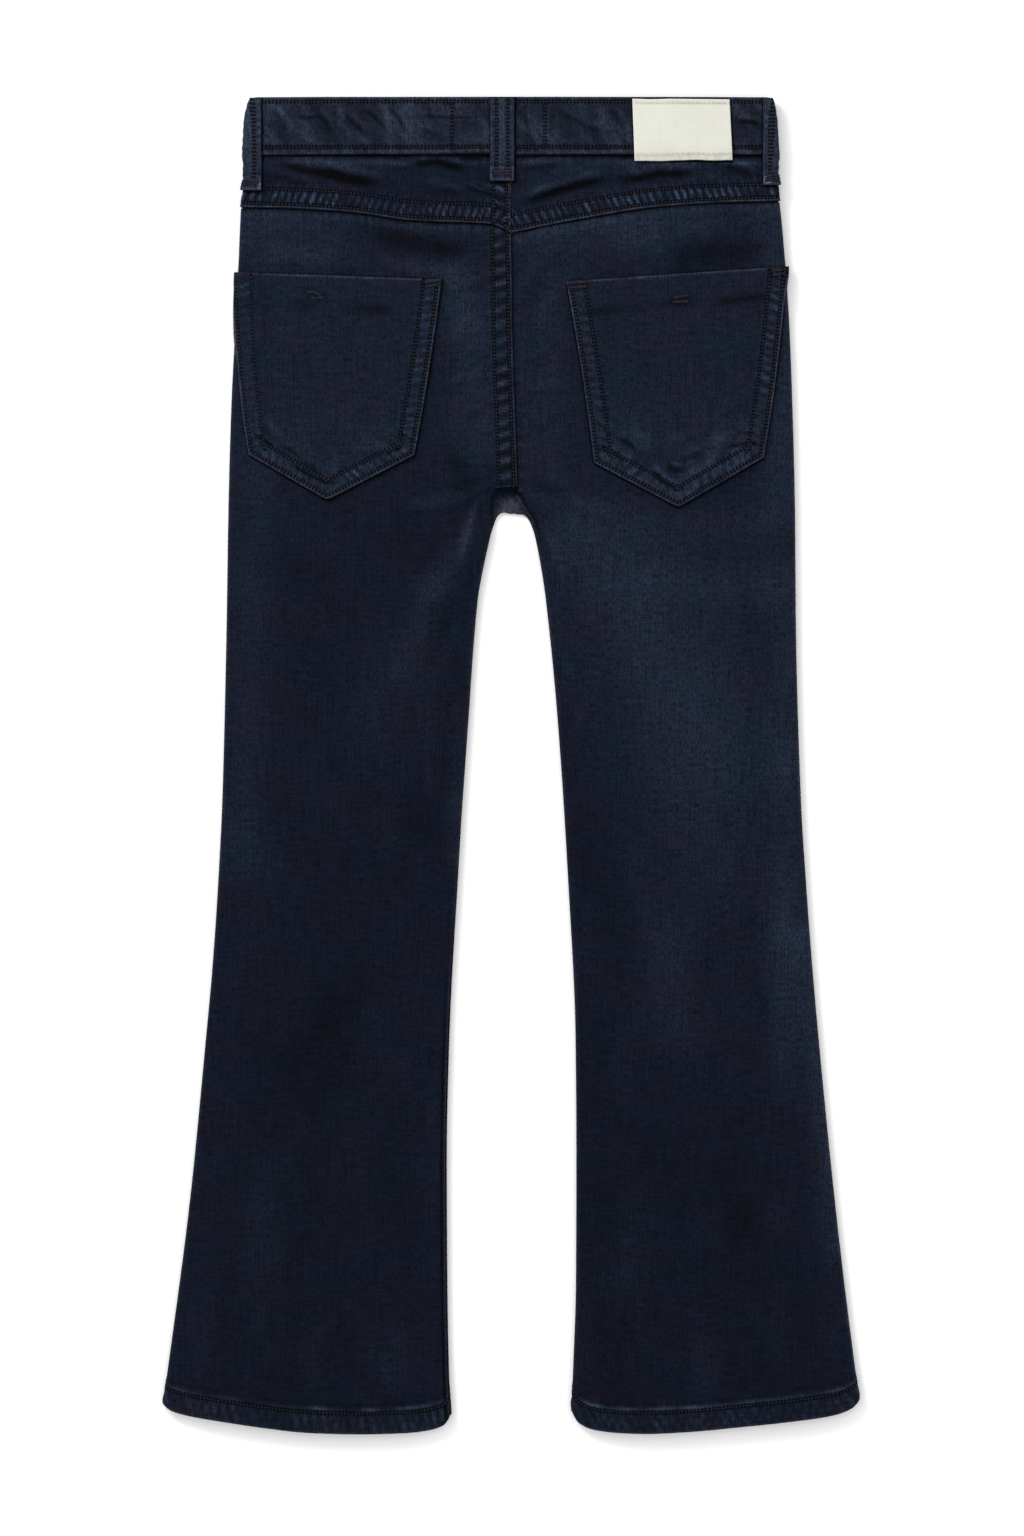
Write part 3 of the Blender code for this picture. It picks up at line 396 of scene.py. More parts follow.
def layOver(cloth, outline, shift=(0.2, 0.35)):  # how far each point is outside a piece that lies on the cloth
    # the distance sets the painted shadow line beside the laid piece; the shift moves the outline right and down, so
    # that painted shadow is wider there
    corners, flat = np.array(outline, float) + shift, pairs(cloth["x"], cloth["drop"])
    away, inside = np.full(len(flat), 9.0), np.zeros(len(flat), bool)
    for start, end in zip(corners, np.roll(corners, -1, axis=0)):
        span = end - start
        share = np.clip((flat - start) @ span / (span @ span), 0, 1)[:, None]
        away = np.minimum(away, np.hypot(*(flat - start - share * span).T))
        level = (flat[:, 1] - start[1]) / (span[1] or 1e-9)
        inside ^= (level >= 0) & (level < 1) & (flat[:, 0] < start[0] + level * span[0])
    cloth["clear"] = np.minimum(cloth["clear"], np.where(inside, -away, away).reshape(cloth["x"].shape))


# broad painted light and shade: a positive amount paints paler, a negative one paints shade, broken up a little
def paintLightAndShade(cloth, lightAndShade):
    for x0, drop0, x1, drop1, width, amount in zip(*lightAndShade.values()):
        span = np.array([x1 - x0, drop1 - drop0])
        share = ((cloth["x"] - x0) * span[0] + (cloth["drop"] - drop0) * span[1]) / max(span @ span, 1e-9)
        share = np.clip(share, 0, 1)
        away = np.hypot(cloth["x"] - x0 - share * span[0], cloth["drop"] - drop0 - share * span[1])
        uneven = 1 + 0.6 * noise(cloth["x"], cloth["drop"], 7.0, 90 + int(abs(drop0))) * (amount < 0)
        cloth["wear" if amount > 0 else "shade"] += abs(amount) * bell(away, width) * uneven


def addUnevenness(cloth, seed, amount=1.0):
    x, drop, inside = cloth["x"], cloth["drop"], smooth(cloth["depth"] / 6)
    cloth["height"] += amount * inside * 0.14 * noise(x, drop, 24.0, seed)
    cloth["height"] += amount * inside * 0.06 * noise(x, drop, 8.0, seed + 1)
    cloth["height"] += amount * 0.02 * noise(x, drop, 3.0, seed + 2)


sewing = {
    "rows": (1.9, 8.9),  # from a lapped edge
    "groove": 0.26,
    "grooveWidth": 0.75,
    "lapRise": 0.7,
    "yokePitch": 3.9,
    "edgeSteps": (0, 0.1, 0.35, 0.8, 1.35, 1.9, 2.5, 3.4, 4.4, 5.4, 6.4, 7.4, 8.2, 8.9, 9.5, 10.1, 11, 12.4),
}
threadKinds = {  # the pitch, then each stitch's length, radius, arch, turn and wander
    "denimThread": (1.9, 1.20, 0.26, 0.26, 0.0, 0.14),
    "paleThread": (2.1, 1.70, 0.20, 0.28, 0.0, 0.10),
    "tackThread": (0.42, 1.30, 0.22, 0.30, 1.45, 0.25),
    "looseThread": (0.40, 0.80, 0.17, 0.04, 0.0, 0.20),
}
rimSteps = (0, 0.1, 0.35, 0.8, 1.5)


# a lap's puckers lie between its rows: paler along their tops, worn and with painted highlight, painted shade in the
# hollows, and a chafed edge with painted sheen
def addLap(cloth, edge, pitch, seed, pucker, slant, rise=sewing["lapRise"], rows=sewing["rows"], vary=0.45,
           glow=1.0, patchy=0.9, reach=0.42, rubbed=0.80, hollows=0.55):
    away, run = awayFrom(pathData(edge), cloth, 18.0)
    cloth["height"] += rise * smooth((rows[-1] + 2.2 - away) / 2.2)
    between = smooth((away - rows[0] + 0.4) / 1.6) * smooth((rows[-1] + 0.6 - away) / 1.6)
    beyond = smooth((away - rows[-1]) / 0.8) * smooth((rows[-1] + 6.0 - away) / 5.0)
    relief = 0.8 * ripple(run + slant * away, pitch, seed, vary)
    relief = relief + 0.2 * ripple(run - slant * away, pitch * 0.43, seed + 5)
    cloth["height"] += pucker * relief * (between + 0.3 * beyond)
    raised, low = np.clip(relief, 0, 1), np.clip(-relief, 0, 1)
    patchy = np.clip(0.75 + patchy * noise(run, 0.6 * away, 4.5, seed + 9), 0.05, 2) * glow
    core = bell(away - (rows[0] + rows[1]) / 2, reach * (rows[1] - rows[0]))
    # paler pucker tops, worn and with painted highlight, and painted shade in their hollows
    cloth["wear"] += patchy * (1.15 * raised**1.6 * between * core + 0.16 * raised * beyond)
    cloth["shade"] += low * (hollows * between + 0.22 * beyond)
    # the lapped edge, chafed pale with painted sheen
    cloth["edge"] += rubbed * bell(away - 0.7, 0.42) * (0.8 + 0.6 * noise(run, 0, 5.0, seed + 3))
    return away


def sewRow(cloth, row, deep=1.0, dark=0.0, strips=(0,)):
    path, pitch = pathData(row), threadKinds["denimThread"][0]
    away, run = awayFrom(path, cloth, 3.0)
    cloth["height"] -= deep * sewing["groove"] * bell(away, sewing["grooveWidth"])
    # painted shade along the stitch groove
    cloth["shade"] += dark * bell(away, 0.8)
    closer = away < cloth["stitchAway"]
    cloth["stitchAway"] = np.where(closer, away, cloth["stitchAway"])
    cloth["stitchRun"] = np.where(closer, run / pitch, cloth["stitchRun"])
    addThread(cloth, row, strips=strips)


def addThread(cloth, row, kind="denimThread", strips=(0,)):  # one place for each stitch, half a pitch from the holes
    path, pitch = pathData(row), threadKinds[kind][0]
    at = np.arange(0.5 * pitch, path["run"][-1], pitch)
    places = pairs(*(np.interp(at, path["run"], line) for line in path["points"].T))
    cloth["threads"] += [(kind, places, strip) for strip in strips]


def offsetPath(points, distance):  # to the left of the way it runs, as drawn with the drop downwards
    points = densePath(points, 1.0)
    along = unit(np.gradient(points, axis=0))
    return points + pairs(along[:, 1], -along[:, 0]) * distance


# ---- from flat cloth to a closed shell


def gridQuads(rows, count):
    index = np.arange(rows * count).reshape(rows, count)
    a, b, c, d = index[:-1, :-1], index[1:, :-1], index[1:, 1:], index[:-1, 1:]
    return np.stack([a, b, c, d], axis=-1).reshape(-1, 4)


def shellFaces(rows, count):  # of the outer side, the inner side and the rim between them
    over, index = gridQuads(rows, count), np.arange(rows * count).reshape(rows, count)
    rim = np.concatenate([index[0, :-1], index[:-1, -1], index[-1, :0:-1], index[:0:-1, 0]])
    after = np.roll(rim, -1)
    edges = np.stack([after, rim, rim + rows * count, after + rows * count], axis=1)
    return np.concatenate([over, over[:, ::-1] + rows * count, edges[:, ::-1]])


def linked(name, data):
    thing = bpy.data.objects.new(name, data)
    bpy.context.scene.collection.objects.link(thing)
    return thing


def newMesh(name, points, faces, material, sharp=None):
    mesh = bpy.data.meshes.new(name)
    mesh.from_pydata((np.asarray(points) * 0.001).tolist(), [], faces)
    mesh.materials.append(material)
    mesh.shade_smooth()
    if sharp:
        mesh.set_sharp_from_angle(angle=math.radians(sharp))
    return linked(name, mesh)


def setAttributes(mesh, values, flat):
    for name, kind, data in values:
        attribute = mesh.attributes.new(name, kind, "POINT")
        attribute.data.foreach_set("vector" if kind == "FLOAT_VECTOR" else "value", np.ravel(data).astype(np.float32))
    corners = np.empty(len(mesh.loops), np.int32)
    mesh.loops.foreach_get("vertex_index", corners)
    mesh.uv_layers.new(name="cut").data.foreach_set("uv", np.ravel(flat[corners] * 0.001).astype(np.float32))


def clothShell(name, cloth, wall, material):
    rows, count = cloth["x"].shape
    outer = cloth["place"] + cloth["out"] * (cloth["sink"] + cloth["height"] - cloth["thin"])[..., None]
    inner = cloth["place"] + cloth["out"] * (cloth["sink"] - wall + cloth["thin"])[..., None]
    if cloth["side"] == front:
        outer[..., 2] = np.maximum(outer[..., 2], 0.0)
    cloth["outer"] = outer
    points, faces = np.concatenate([outer.reshape(-1, 3), inner.reshape(-1, 3)]), shellFaces(rows, count)
    middle = faces[(rows - 1) * (count - 1) // 2]
    corner = points[middle]
    upward = np.cross(corner[1] - corner[0], corner[2] - corner[0]) @ cloth["out"].reshape(-1, 3)[middle[0]]
    if upward < 0:
        faces = faces[:, ::-1]
    piece = newMesh(name, points, faces.tolist(), material)
    none, nowhere = np.zeros(rows * count), np.tile((0, 9, 9), (rows * count, 1))
    values = []
    for word in ("wear", "shade", "edge"):
        faceValues = (cloth[word], cloth.get("inside" + word.title(), none))
        values.append((word, "FLOAT", np.concatenate([np.clip(np.ravel(value), 0, 1) for value in faceValues])))
    sewn = np.stack([cloth[word].ravel() for word in ("stitchRun", "stitchAway", "clear")], axis=1)
    values.append(("sewn", "FLOAT_VECTOR", np.concatenate([sewn, nowhere])))
    setAttributes(piece.data, values, np.tile(pairs(cloth["x"], cloth["drop"]), (2, 1)))
    return piece


def newSkin(cloth, strip):
    view = {name: cloth[name][:, strip] for name in ("x", "drop", "outer", "out")}
    view["lift"] = (cloth["height"] + cloth["sink"])[:, strip]
    quads = gridQuads(*view["x"].shape)
    triangles = np.concatenate([quads[:, [0, 1, 2]], quads[:, [0, 2, 3]]])
    flat = pairs(view["x"], view["drop"])
    tree = BVHTree.FromPolygons([(x, y, 0) for x, y in flat.tolist()], triangles.tolist())
    return {"tree": tree, "triangles": triangles, "flat": flat, "view": view, "side": cloth["side"]}


def readSkin(skin, flat, name):  # the skin's values at flat places, and which places are on it
    found = [skin["tree"].ray_cast((x, y, 1), (0, 0, -1))[2] for x, y in flat]
    found = np.array([-1 if index is None else index for index in found])
    values = skin["view"][name].reshape(len(skin["flat"]), -1)
    corners = skin["triangles"][found]
    a, b, c = (skin["flat"][corners[:, i]] for i in range(3))
    cross = lambda p, q: p[:, 0] * q[:, 1] - p[:, 1] * q[:, 0]
    whole = cross(b - a, c - a)
    second, third = cross(flat - a, c - a) / whole, cross(b - a, flat - a) / whole
    weights = np.stack([1 - second - third, second, third], axis=1)
    return (values[corners] * weights[..., None]).sum(1), found >= 0


def heightBelow(skins, cloth):  # how far a piece is lifted by what it lies on
    flat = pairs(cloth["x"], cloth["drop"])
    lifted = np.zeros(len(flat))
    for skin in skins:
        lift, there = readSkin(skin, flat, "lift")
        lifted = np.where(there, np.maximum(lifted, lift[:, 0]), lifted)
    return lifted.reshape(cloth["x"].shape)


def bridged(lift, rounds):  # cloth spans the hollows under it
    for _ in range(rounds):
        padded = np.pad(lift, 1, mode="edge")
        around = (padded[:-2, 1:-1] + padded[2:, 1:-1] + padded[1:-1, :-2] + padded[1:-1, 2:]) / 4
        lift = np.maximum(lift, around)
    return lift


pieces = {}
threadRows = {kind: [] for kind in threadKinds}


def takeThreads(cloth, skins):
    for kind, flat, strip in cloth["threads"]:
        skin = skins[strip]
        points, there = readSkin(skin, flat, "outer")
        outs, _ = readSkin(skin, flat, "out")
        if there.sum() > 2:
            _, _, radius, arch, _, _ = threadKinds[kind]
            spare = points[there, 2] - radius - arch / 2 - 0.02  # above the floor
            lift = 0.02 if skin["side"] == back else np.minimum(0.02, spare)[:, None]
            threadRows[kind].append((points[there] + unit(outs[there]) * lift, unit(outs[there])))


def flatArea(x, drop):  # half the cut's two faces, in square metres
    a, b = (np.concatenate([line[0], line[:, -1], line[-1, ::-1], line[::-1, 0]]) for line in (x, drop))
    return abs((a * np.roll(b, -1) - b * np.roll(a, -1)).sum()) / 2 * 1e-6


def finishCloth(name, cloth, wall, slot, rests, size=None, area=None, held="laid", strips=(slice(None),)):
    piece = clothShell(name + "_cloth", cloth, wall, finishes[slot])
    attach(piece, "root")
    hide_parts(name)
    width, length = size or (np.ptp(cloth["x"]) * 0.001, np.ptp(cloth["drop"]) * 0.001)
    area = min(area or flatArea(cloth["x"], cloth["drop"]), width * length)
    pieces[name] = {"piece": piece, "flat": (width, length), "area": area, "held": held, "rests": rests}
    print(name, "triangles", sum(len(face.vertices) - 2 for face in piece.data.polygons))
    skins = [newSkin(cloth, strip) for strip in strips]
    takeThreads(cloth, skins)
    return skins


# ---- finishes


def addNode(tree, kind, inputs=None, output=0, **settings):
    node = tree.nodes.new(kind)
    for name, value in settings.items():
        setattr(node, name, value)
    for key, value in (inputs or {}).items():
        if isinstance(value, bpy.types.NodeSocket):
            tree.links.new(value, node.inputs[key])
        else:
            node.inputs[key].default_value = value
    return node.outputs if output is None else node.outputs[output]


def mathNode(tree, operation, *values, clamp=False):
    return addNode(tree, "ShaderNodeMath", dict(enumerate(values)), operation=operation, use_clamp=clamp)


def mixColour(tree, share, first, second):
    return addNode(tree, "ShaderNodeMix", {0: share, 6: first, 7: second}, 2, data_type="RGBA", blend_type="MIX")


def remap(tree, value, low, high, newLow=0.0, newHigh=1.0):
    return addNode(tree, "ShaderNodeMapRange", dict(enumerate((value, low, high, newLow, newHigh))))


def stretched(tree, vector, sizeX, sizeY):  # in cells of this size, in mm
    inputs = {0: vector, 1: (1000 / sizeX, 1000 / sizeY, 1.0)}
    return addNode(tree, "ShaderNodeVectorMath", inputs, operation="MULTIPLY")


def noiseNode(tree, vector, detail, roughness=0.5):
    inputs = {"Vector": vector, "Scale": 1.0, "Detail": detail, "Roughness": roughness}
    return addNode(tree, "ShaderNodeTexNoise", inputs)


def waveNode(tree, vector, direction, distortion=0.6):
    inputs = {"Vector": vector, "Scale": 1.0, "Distortion": distortion}
    return addNode(tree, "ShaderNodeTexWave", inputs, "Fac", bands_direction=direction)


def flatPlace(tree):
    return addNode(tree, "ShaderNodeUVMap", uv_map="cut")


def solidPlace(tree):
    return addNode(tree, "ShaderNodeTexCoord", output="Object")


def worked(tree, word, output="Fac"):
    return addNode(tree, "ShaderNodeAttribute", output=output, attribute_name=word)


def newTree(name, kind, inputs, outputs):
    tree = bpy.data.node_groups.new(name, kind)
    for word, form, *value in inputs:
        socket = tree.interface.new_socket(word, in_out="INPUT", socket_type="NodeSocket" + form)
        if value:
            socket.default_value = value[0]
    for word, form in outputs:
        tree.interface.new_socket(word, in_out="OUTPUT", socket_type="NodeSocket" + form)
    return tree, tree.nodes.new("NodeGroupInput").outputs, tree.nodes.new("NodeGroupOutput").inputs


def makeTwill():  # diagonal ribs of the warp, uneven yarns and slubs across them
    tree, given, result = newTree(
        "twill", "ShaderNodeTree",
        (("Cut", "Vector"), ("Rib", "Float", 0.75), ("Slub Length", "Float", 9.0), ("Steepness", "Float", 0.62)),
        (("Height", "Float"), ("Yarn", "Float"), ("Slub", "Float")),
    )
    cut = given["Cut"]
    parts = addNode(tree, "ShaderNodeSeparateXYZ", {0: cut}, None)
    wander = noiseNode(tree, stretched(tree, cut, 6.0, 9.0), 1.0)
    along = mathNode(tree, "MULTIPLY_ADD", parts[1], given["Steepness"], parts[0])
    ribs = mathNode(tree, "DIVIDE", mathNode(tree, "MULTIPLY", along, 1000.0), given["Rib"])
    turned = mathNode(tree, "MULTIPLY", mathNode(tree, "MULTIPLY_ADD", wander, 1.6, ribs), 2 * math.pi)
    rib = mathNode(tree, "SINE", turned)
    yarns = noiseNode(tree, stretched(tree, cut, 0.55, 2.4), 2.0, 0.6)
    share = {0: mathNode(tree, "DIVIDE", 1.0, given["Slub Length"]), 1: 1.25, 2: 1.0}
    lengthwise = {0: stretched(tree, cut, 1.0, 1.0), 1: addNode(tree, "ShaderNodeCombineXYZ", share)}
    slubs = addNode(tree, "ShaderNodeVectorMath", lengthwise, operation="MULTIPLY")
    warp = noiseNode(tree, stretched(tree, cut, 1.0, 26.0), 2.0, 0.6)
    slub = mathNode(tree, "MULTIPLY", mathNode(tree, "ADD", warp, noiseNode(tree, slubs, 2.0, 0.6)), 0.5)
    height = mathNode(tree, "MULTIPLY_ADD", rib, 0.25, yarns)
    tree.links.new(mathNode(tree, "MULTIPLY_ADD", slub, 0.9, height), result["Height"])
    tree.links.new(yarns, result["Yarn"])
    tree.links.new(remap(tree, slub, 0.36, 0.64), result["Slub"])
    return tree


def makeWash():  # cloth colour: paler for worn cloth and painted highlight, darker by painted shade, with chafed edges and painted sheen, mottled a little from blue to purple
    tree, given, result = newTree(
        "wash", "ShaderNodeTree",
        (("Cut", "Vector"), ("Deep", "Color"), ("Purple", "Color"), ("Faded", "Color"), ("Wear", "Float", 0.0),
         ("Shade", "Float", 0.0), ("Yarn", "Float", 0.5), ("Slub", "Float", 0.5), ("Edge", "Float", 0.0),
         ("Edge Color", "Color")),
        (("Color", "Color"),),
    )
    broad = noiseNode(tree, stretched(tree, given["Cut"], 36.0, 24.0), 3.0, 0.55)
    small = noiseNode(tree, stretched(tree, given["Cut"], 6.5, 3.0), 2.0, 0.6)
    patches, streaks, speckle = (
        mathNode(tree, "SUBTRACT", value, 0.5) for value in (small, given["Slub"], given["Yarn"]))
    mottle = mathNode(tree, "MULTIPLY_ADD", patches, 0.45, broad)
    base = mixColour(tree, remap(tree, mottle, 0.38, 0.62), given["Deep"], given["Purple"])
    uneven = mathNode(tree, "MULTIPLY_ADD", patches, 0.8, mathNode(tree, "MULTIPLY", streaks, 0.75))
    uneven = mathNode(tree, "MULTIPLY_ADD", speckle, 2.3, uneven)
    # worn is the share of the pale colour, for worn cloth and painted highlight; the edge share paints chafed edges
    # paler, with painted sheen
    worn, rubbed = (
        mathNode(tree, "MULTIPLY", given[word], mathNode(tree, "MULTIPLY_ADD", speckle, speckled, 1.0), clamp=True)
        for word, speckled in (("Wear", 2.2), ("Edge", 1.6))
    )
    colour = mixColour(tree, rubbed, mixColour(tree, worn, base, given["Faded"]), given["Edge Color"])
    gain = mathNode(tree, "MULTIPLY", mathNode(tree, "ADD", 1.0, uneven),
                    mathNode(tree, "MULTIPLY_ADD", given["Shade"], -0.9, 1.0))
    scaled = addNode(tree, "ShaderNodeVectorMath", {0: colour, "Scale": gain}, operation="SCALE")
    tree.links.new(scaled, result["Color"])
    return tree


def makeNeedleHoles():  # painted shade in the needle holes between the stitches of a row, and a painted shadow line beside a piece laid on top
    tree, given, result = newTree(
        "needleHoles", "ShaderNodeTree", (("Sewn", "Vector"),), (("Mask", "Float"), ("Line", "Float")))
    run, away, clear = addNode(tree, "ShaderNodeSeparateXYZ", {0: given["Sewn"]}, None)
    phase = mathNode(tree, "ABSOLUTE", mathNode(tree, "SUBTRACT", mathNode(tree, "FRACT", run), 0.5))
    hole = remap(tree, phase, 0.19, 0.29)
    near = remap(tree, away, 0.85, 1.2, 1.0, 0.0)
    tree.links.new(remap(tree, clear, 0.3, 1.1, 1.0, 0.0), result["Line"])
    tree.links.new(mathNode(tree, "MULTIPLY", hole, near), result["Mask"])
    return tree


def placed(tree, group, **inputs):
    named = {word.replace("_", " "): value for word, value in inputs.items()}
    return addNode(tree, "ShaderNodeGroup", named, None, node_tree=group)


def newMaterial(name, roughness, specular, metallic=0.0, sheen=0.0, sheenTint=(1, 1, 1, 1)):
    material = bpy.data.materials.new(name)
    material.use_nodes = True
    shader = material.node_tree.nodes["Principled BSDF"]
    constants = {
        "Roughness": roughness, "Metallic": metallic, "Specular IOR Level": specular, "Sheen Weight": sheen,
        "Sheen Tint": sheenTint, "Sheen Roughness": 0.5,
    }
    for word, value in constants.items():
        shader.inputs[word].default_value = value
    return material, material.node_tree, shader


def surfaced(tree, shader, colour, height, distance):
    tree.links.new(colour, shader.inputs["Base Color"])
    bump = addNode(tree, "ShaderNodeBump", {"Height": height, "Distance": distance, "Strength": 1.0})
    tree.links.new(bump, shader.inputs["Normal"])


twill, wash, needleHoles = makeTwill(), makeWash(), makeNeedleHoles()
denim = {
    "deep": (0.0027, 0.0058, 0.0130, 1),
    "purple": (0.0049, 0.0048, 0.0116, 1),
    # the pale colour is for worn cloth and for painted highlight; edge is for chafed edges, with painted sheen
    "faded": (0.031, 0.047, 0.079, 1),
    "edge": (0.035, 0.036, 0.056, 1),
    "rib": 0.75,
    "roughness": 0.88,
    "specular": 0.05,
    "sheen": 0.015,
    "sheenTint": (0.6, 0.7, 1, 1),
    "weaveDepth": 0.00016,
    "slubLength": 9.0,
}
trim = {
    "deep": (0.0056, 0.0088, 0.0168, 1),
    "purple": (0.0068, 0.0078, 0.0158, 1),
    # the pale colour is for worn cloth and for painted highlight
    "faded": (0.039, 0.053, 0.085, 1),
    "slubLength": 5.0,
}
threads = {  # each kind's dark and pale colours
    "denimThread": ((0.009, 0.0088, 0.017, 1), (0.023, 0.0225, 0.038, 1)),
    "paleThread": ((0.44, 0.42, 0.33, 1), (0.60, 0.59, 0.51, 1)),
    "tackThread": ((0.011, 0.0095, 0.016, 1), (0.027, 0.0245, 0.036, 1)),
    "looseThread": ((0.09, 0.11, 0.15, 1), (0.20, 0.23, 0.29, 1)),
}


def makeDenim(name, colours):
    material, tree, shader = newMaterial(
        name, denim["roughness"], denim["specular"], sheen=denim["sheen"], sheenTint=denim["sheenTint"])
    cut = flatPlace(tree)
    wear, shade, edge = (worked(tree, word) for word in ("wear", "shade", "edge"))
    weave = placed(tree, twill, Cut=cut, Rib=denim["rib"], Slub_Length=colours["slubLength"])
    marks = placed(tree, needleHoles, Sewn=worked(tree, "sewn", "Vector"))
    # painted shade in the needle holes, painted shadow lines beside laid pieces and the shade attribute all darken the
    # colour
    dark = mathNode(tree, "ADD", mathNode(tree, "ADD", marks["Mask"], marks["Line"]), shade, clamp=True)
    colour = placed(tree, wash, Cut=cut, Deep=colours["deep"], Purple=colours["purple"], Faded=colours["faded"],
                    Wear=wear, Shade=dark, Yarn=weave["Yarn"], Slub=weave["Slub"], Edge=edge,
                    Edge_Color=denim["edge"])["Color"]
    height = mathNode(tree, "MULTIPLY_ADD", marks["Mask"], -1.5, weave["Height"])
    surfaced(tree, shader, colour, height, denim["weaveDepth"])
    return material


def makeThread(name, dark, pale):
    material, tree, shader = newMaterial(name, 0.7, 0.1)
    where = solidPlace(tree)
    tone = noiseNode(tree, stretched(tree, where, 2.3, 2.3), 2.0, 0.6)
    colour = mixColour(tree, remap(tree, tone, 0.35, 0.7), dark, pale)
    surfaced(tree, shader, colour, noiseNode(tree, stretched(tree, where, 0.15, 0.15), 1.0), 0.00008)
    return material


def makePatchWeave():
    material, tree, shader = newMaterial("wovenPatch", 0.8, 0.2, sheen=0.05)
    cut, shade = flatPlace(tree), worked(tree, "shade")
    across = waveNode(tree, stretched(tree, cut, 1.9, 1.9), "X")
    down = waveNode(tree, stretched(tree, cut, 1.5, 1.5), "Y")
    uneven = noiseNode(tree, stretched(tree, cut, 4.0, 1.2), 3.0, 0.6)
    pale = mixColour(tree, uneven, (0.57, 0.57, 0.505, 1), (0.655, 0.655, 0.595, 1))
    colour = mixColour(tree, mathNode(tree, "MULTIPLY", shade, 0.8), pale, (0.29, 0.29, 0.22, 1))
    height = mathNode(tree, "MULTIPLY_ADD", uneven, 0.8, mathNode(tree, "ADD", across, down))
    surfaced(tree, shader, colour, height, 0.00007)
    return material


def makeTape():
    material, tree, shader = newMaterial("zipTape", 0.85, 0.2, sheen=0.05)
    ribs = waveNode(tree, stretched(tree, flatPlace(tree), 1.1, 1.1), "DIAGONAL", 0.3)
    colour = mixColour(tree, ribs, (0.010, 0.013, 0.022, 1), (0.018, 0.022, 0.034, 1))
    surfaced(tree, shader, colour, ribs, 0.00006)
    return material


def makeDarkMetal():
    material, tree, shader = newMaterial("darkMetal", 0.35, 0.5, metallic=1.0)
    where = solidPlace(tree)
    worn = remap(tree, noiseNode(tree, stretched(tree, where, 1.6, 1.6), 4.0, 0.65), 0.45, 0.7)
    fine = noiseNode(tree, stretched(tree, where, 0.2, 0.2), 2.0)
    colour = mixColour(tree, worn, (0.13, 0.105, 0.08, 1), (0.30, 0.26, 0.20, 1))
    tree.links.new(remap(tree, fine, 0.2, 0.8, 0.28, 0.46), shader.inputs["Roughness"])
    surfaced(tree, shader, colour, fine, 0.00002)
    return material


finishes = {  # by the name of the slot
    "denim": makeDenim("denim", denim),
    "denim_trim": makeDenim("denimTrim", trim),
    "woven_patch": makePatchWeave(),
    "zip_tape": makeTape(),
    "dark_metal": makeDarkMetal(),
}
threadColours = {kind: makeThread(kind, *colours) for kind, colours in threads.items()}
print("finishes made")


# ---- panels


left = {
    "word": "left", "sign": -1, "yokeLine": yokeLeft, "hemLine": hemLeft,
    "pocket": {
        "outerTop": (-145.8, 91.4), "outerSide": (-144.2, 140.0), "outerLow": (-138.2, 187.0), "tip": (-97.1, 211.0),
        "innerLow": (-51.4, 187.4), "innerSide": (-43.6, 143.0), "innerTop": (-37.0, 95.3),
    },
    "tacks": (
        ((-46, 96.9), (-38.2, 95.9)), ((-45.8, 99.3), (-38.4, 97.9)), ((-144.6, 93.2), (-140.6, 93.4)),
        ((-107.6, 102.5), (-104.7, 101.8), (-100.5, 104)), ((-105.7, 105.1), (-98.5, 105)),
    ),
}
right = {
    "word": "right", "sign": 1, "yokeLine": yokeRight, "hemLine": hemRight,
    "pocket": {
        "outerTop": (144.0, 88.4), "outerSide": (138.4, 143.0), "outerLow": (131.4, 188.6), "tip": (86.8, 214.8),
        "innerLow": (42.6, 191.4), "innerSide": (36.4, 146.0), "innerTop": (28.0, 96.4),
    },
    "tacks": (
        ((29.4, 97.4), (39, 96.6)), ((29.8, 99.8), (38.6, 99)), ((135.4, 90.9), (142.6, 90)),
        ((136, 93), (142, 92.2)), ((84, 105), (92, 103.8)), ((83.8, 107.2), (91.6, 106.9)),
    ),
}
panel = {
    "topDrop": 64.0,
    "topReach": 40.0,
    "hemReach": 60.0,
    "hemHeight": 11.0,
    "hemPitch": 4.8,
    "hemSteps": (15.5, 14.3, 13.2, 12.2, 11.4, 10.6, 9.8, 9, 8.2, 7.2, 6.2, 5.2, 4.2, 3.3, 2.4, 1.6, 0.9, 0.4, 0.12,
                 0),
    "centreRows": (2.1, 9.5),
    "centrePitch": 7.2,
    "sideSteps": (0, 0.1, 0.4, 0.9, 1.6, 2.4, 3.2, 4, 5, 6.2),
    "backSpacing": 2.3,
    "frontSpacing": 4.5,
    "backRowSteps": (1.3, 2.5),  # over the hips and down the legs
    "frontRowSteps": (2.5, 5.0),
}


def seamReach(drop, turns, side):
    quarter = foldRadius(drop) * math.pi / 2
    return quarter * (1 - byDrop(seamTurns, turns, drop) / 90 * side) - foldRadius(drop) - garment["seamGap"] / 2


def sideSeam(leg, side):
    return lambda drop: byDrop(outerEdges, leg["word"], drop) + leg["sign"] * seamReach(drop, "side", side)


def centreSeam(leg, side):
    name = "back" if side == back else "front"
    return lambda drop: byDrop(centreSeams, name, drop) + leg["sign"] * garment["seamGap"] / 2


def innerSeams(leg, side):  # the centre seam, and past the crotch the inner leg's
    turns = "inseamLeft" if leg is left else "inseamRight"
    points = innerEdge["points"]
    moved = points - innerEdge["inward"] * seamReach(points[:, 1], turns, side)[:, None]
    x, drops = moved[innerEdge["crotch"] :: leg["sign"]].T
    centre = centreSeam(leg, side)

    def xAt(drop):
        legX = np.interp(drop, drops, x)
        pastCentre = np.maximum(legX * leg["sign"], centre(drop) * leg["sign"]) * leg["sign"]
        return np.where(drop <= drops[0], centre(drop), pastCentre)

    return xAt, drops[0]


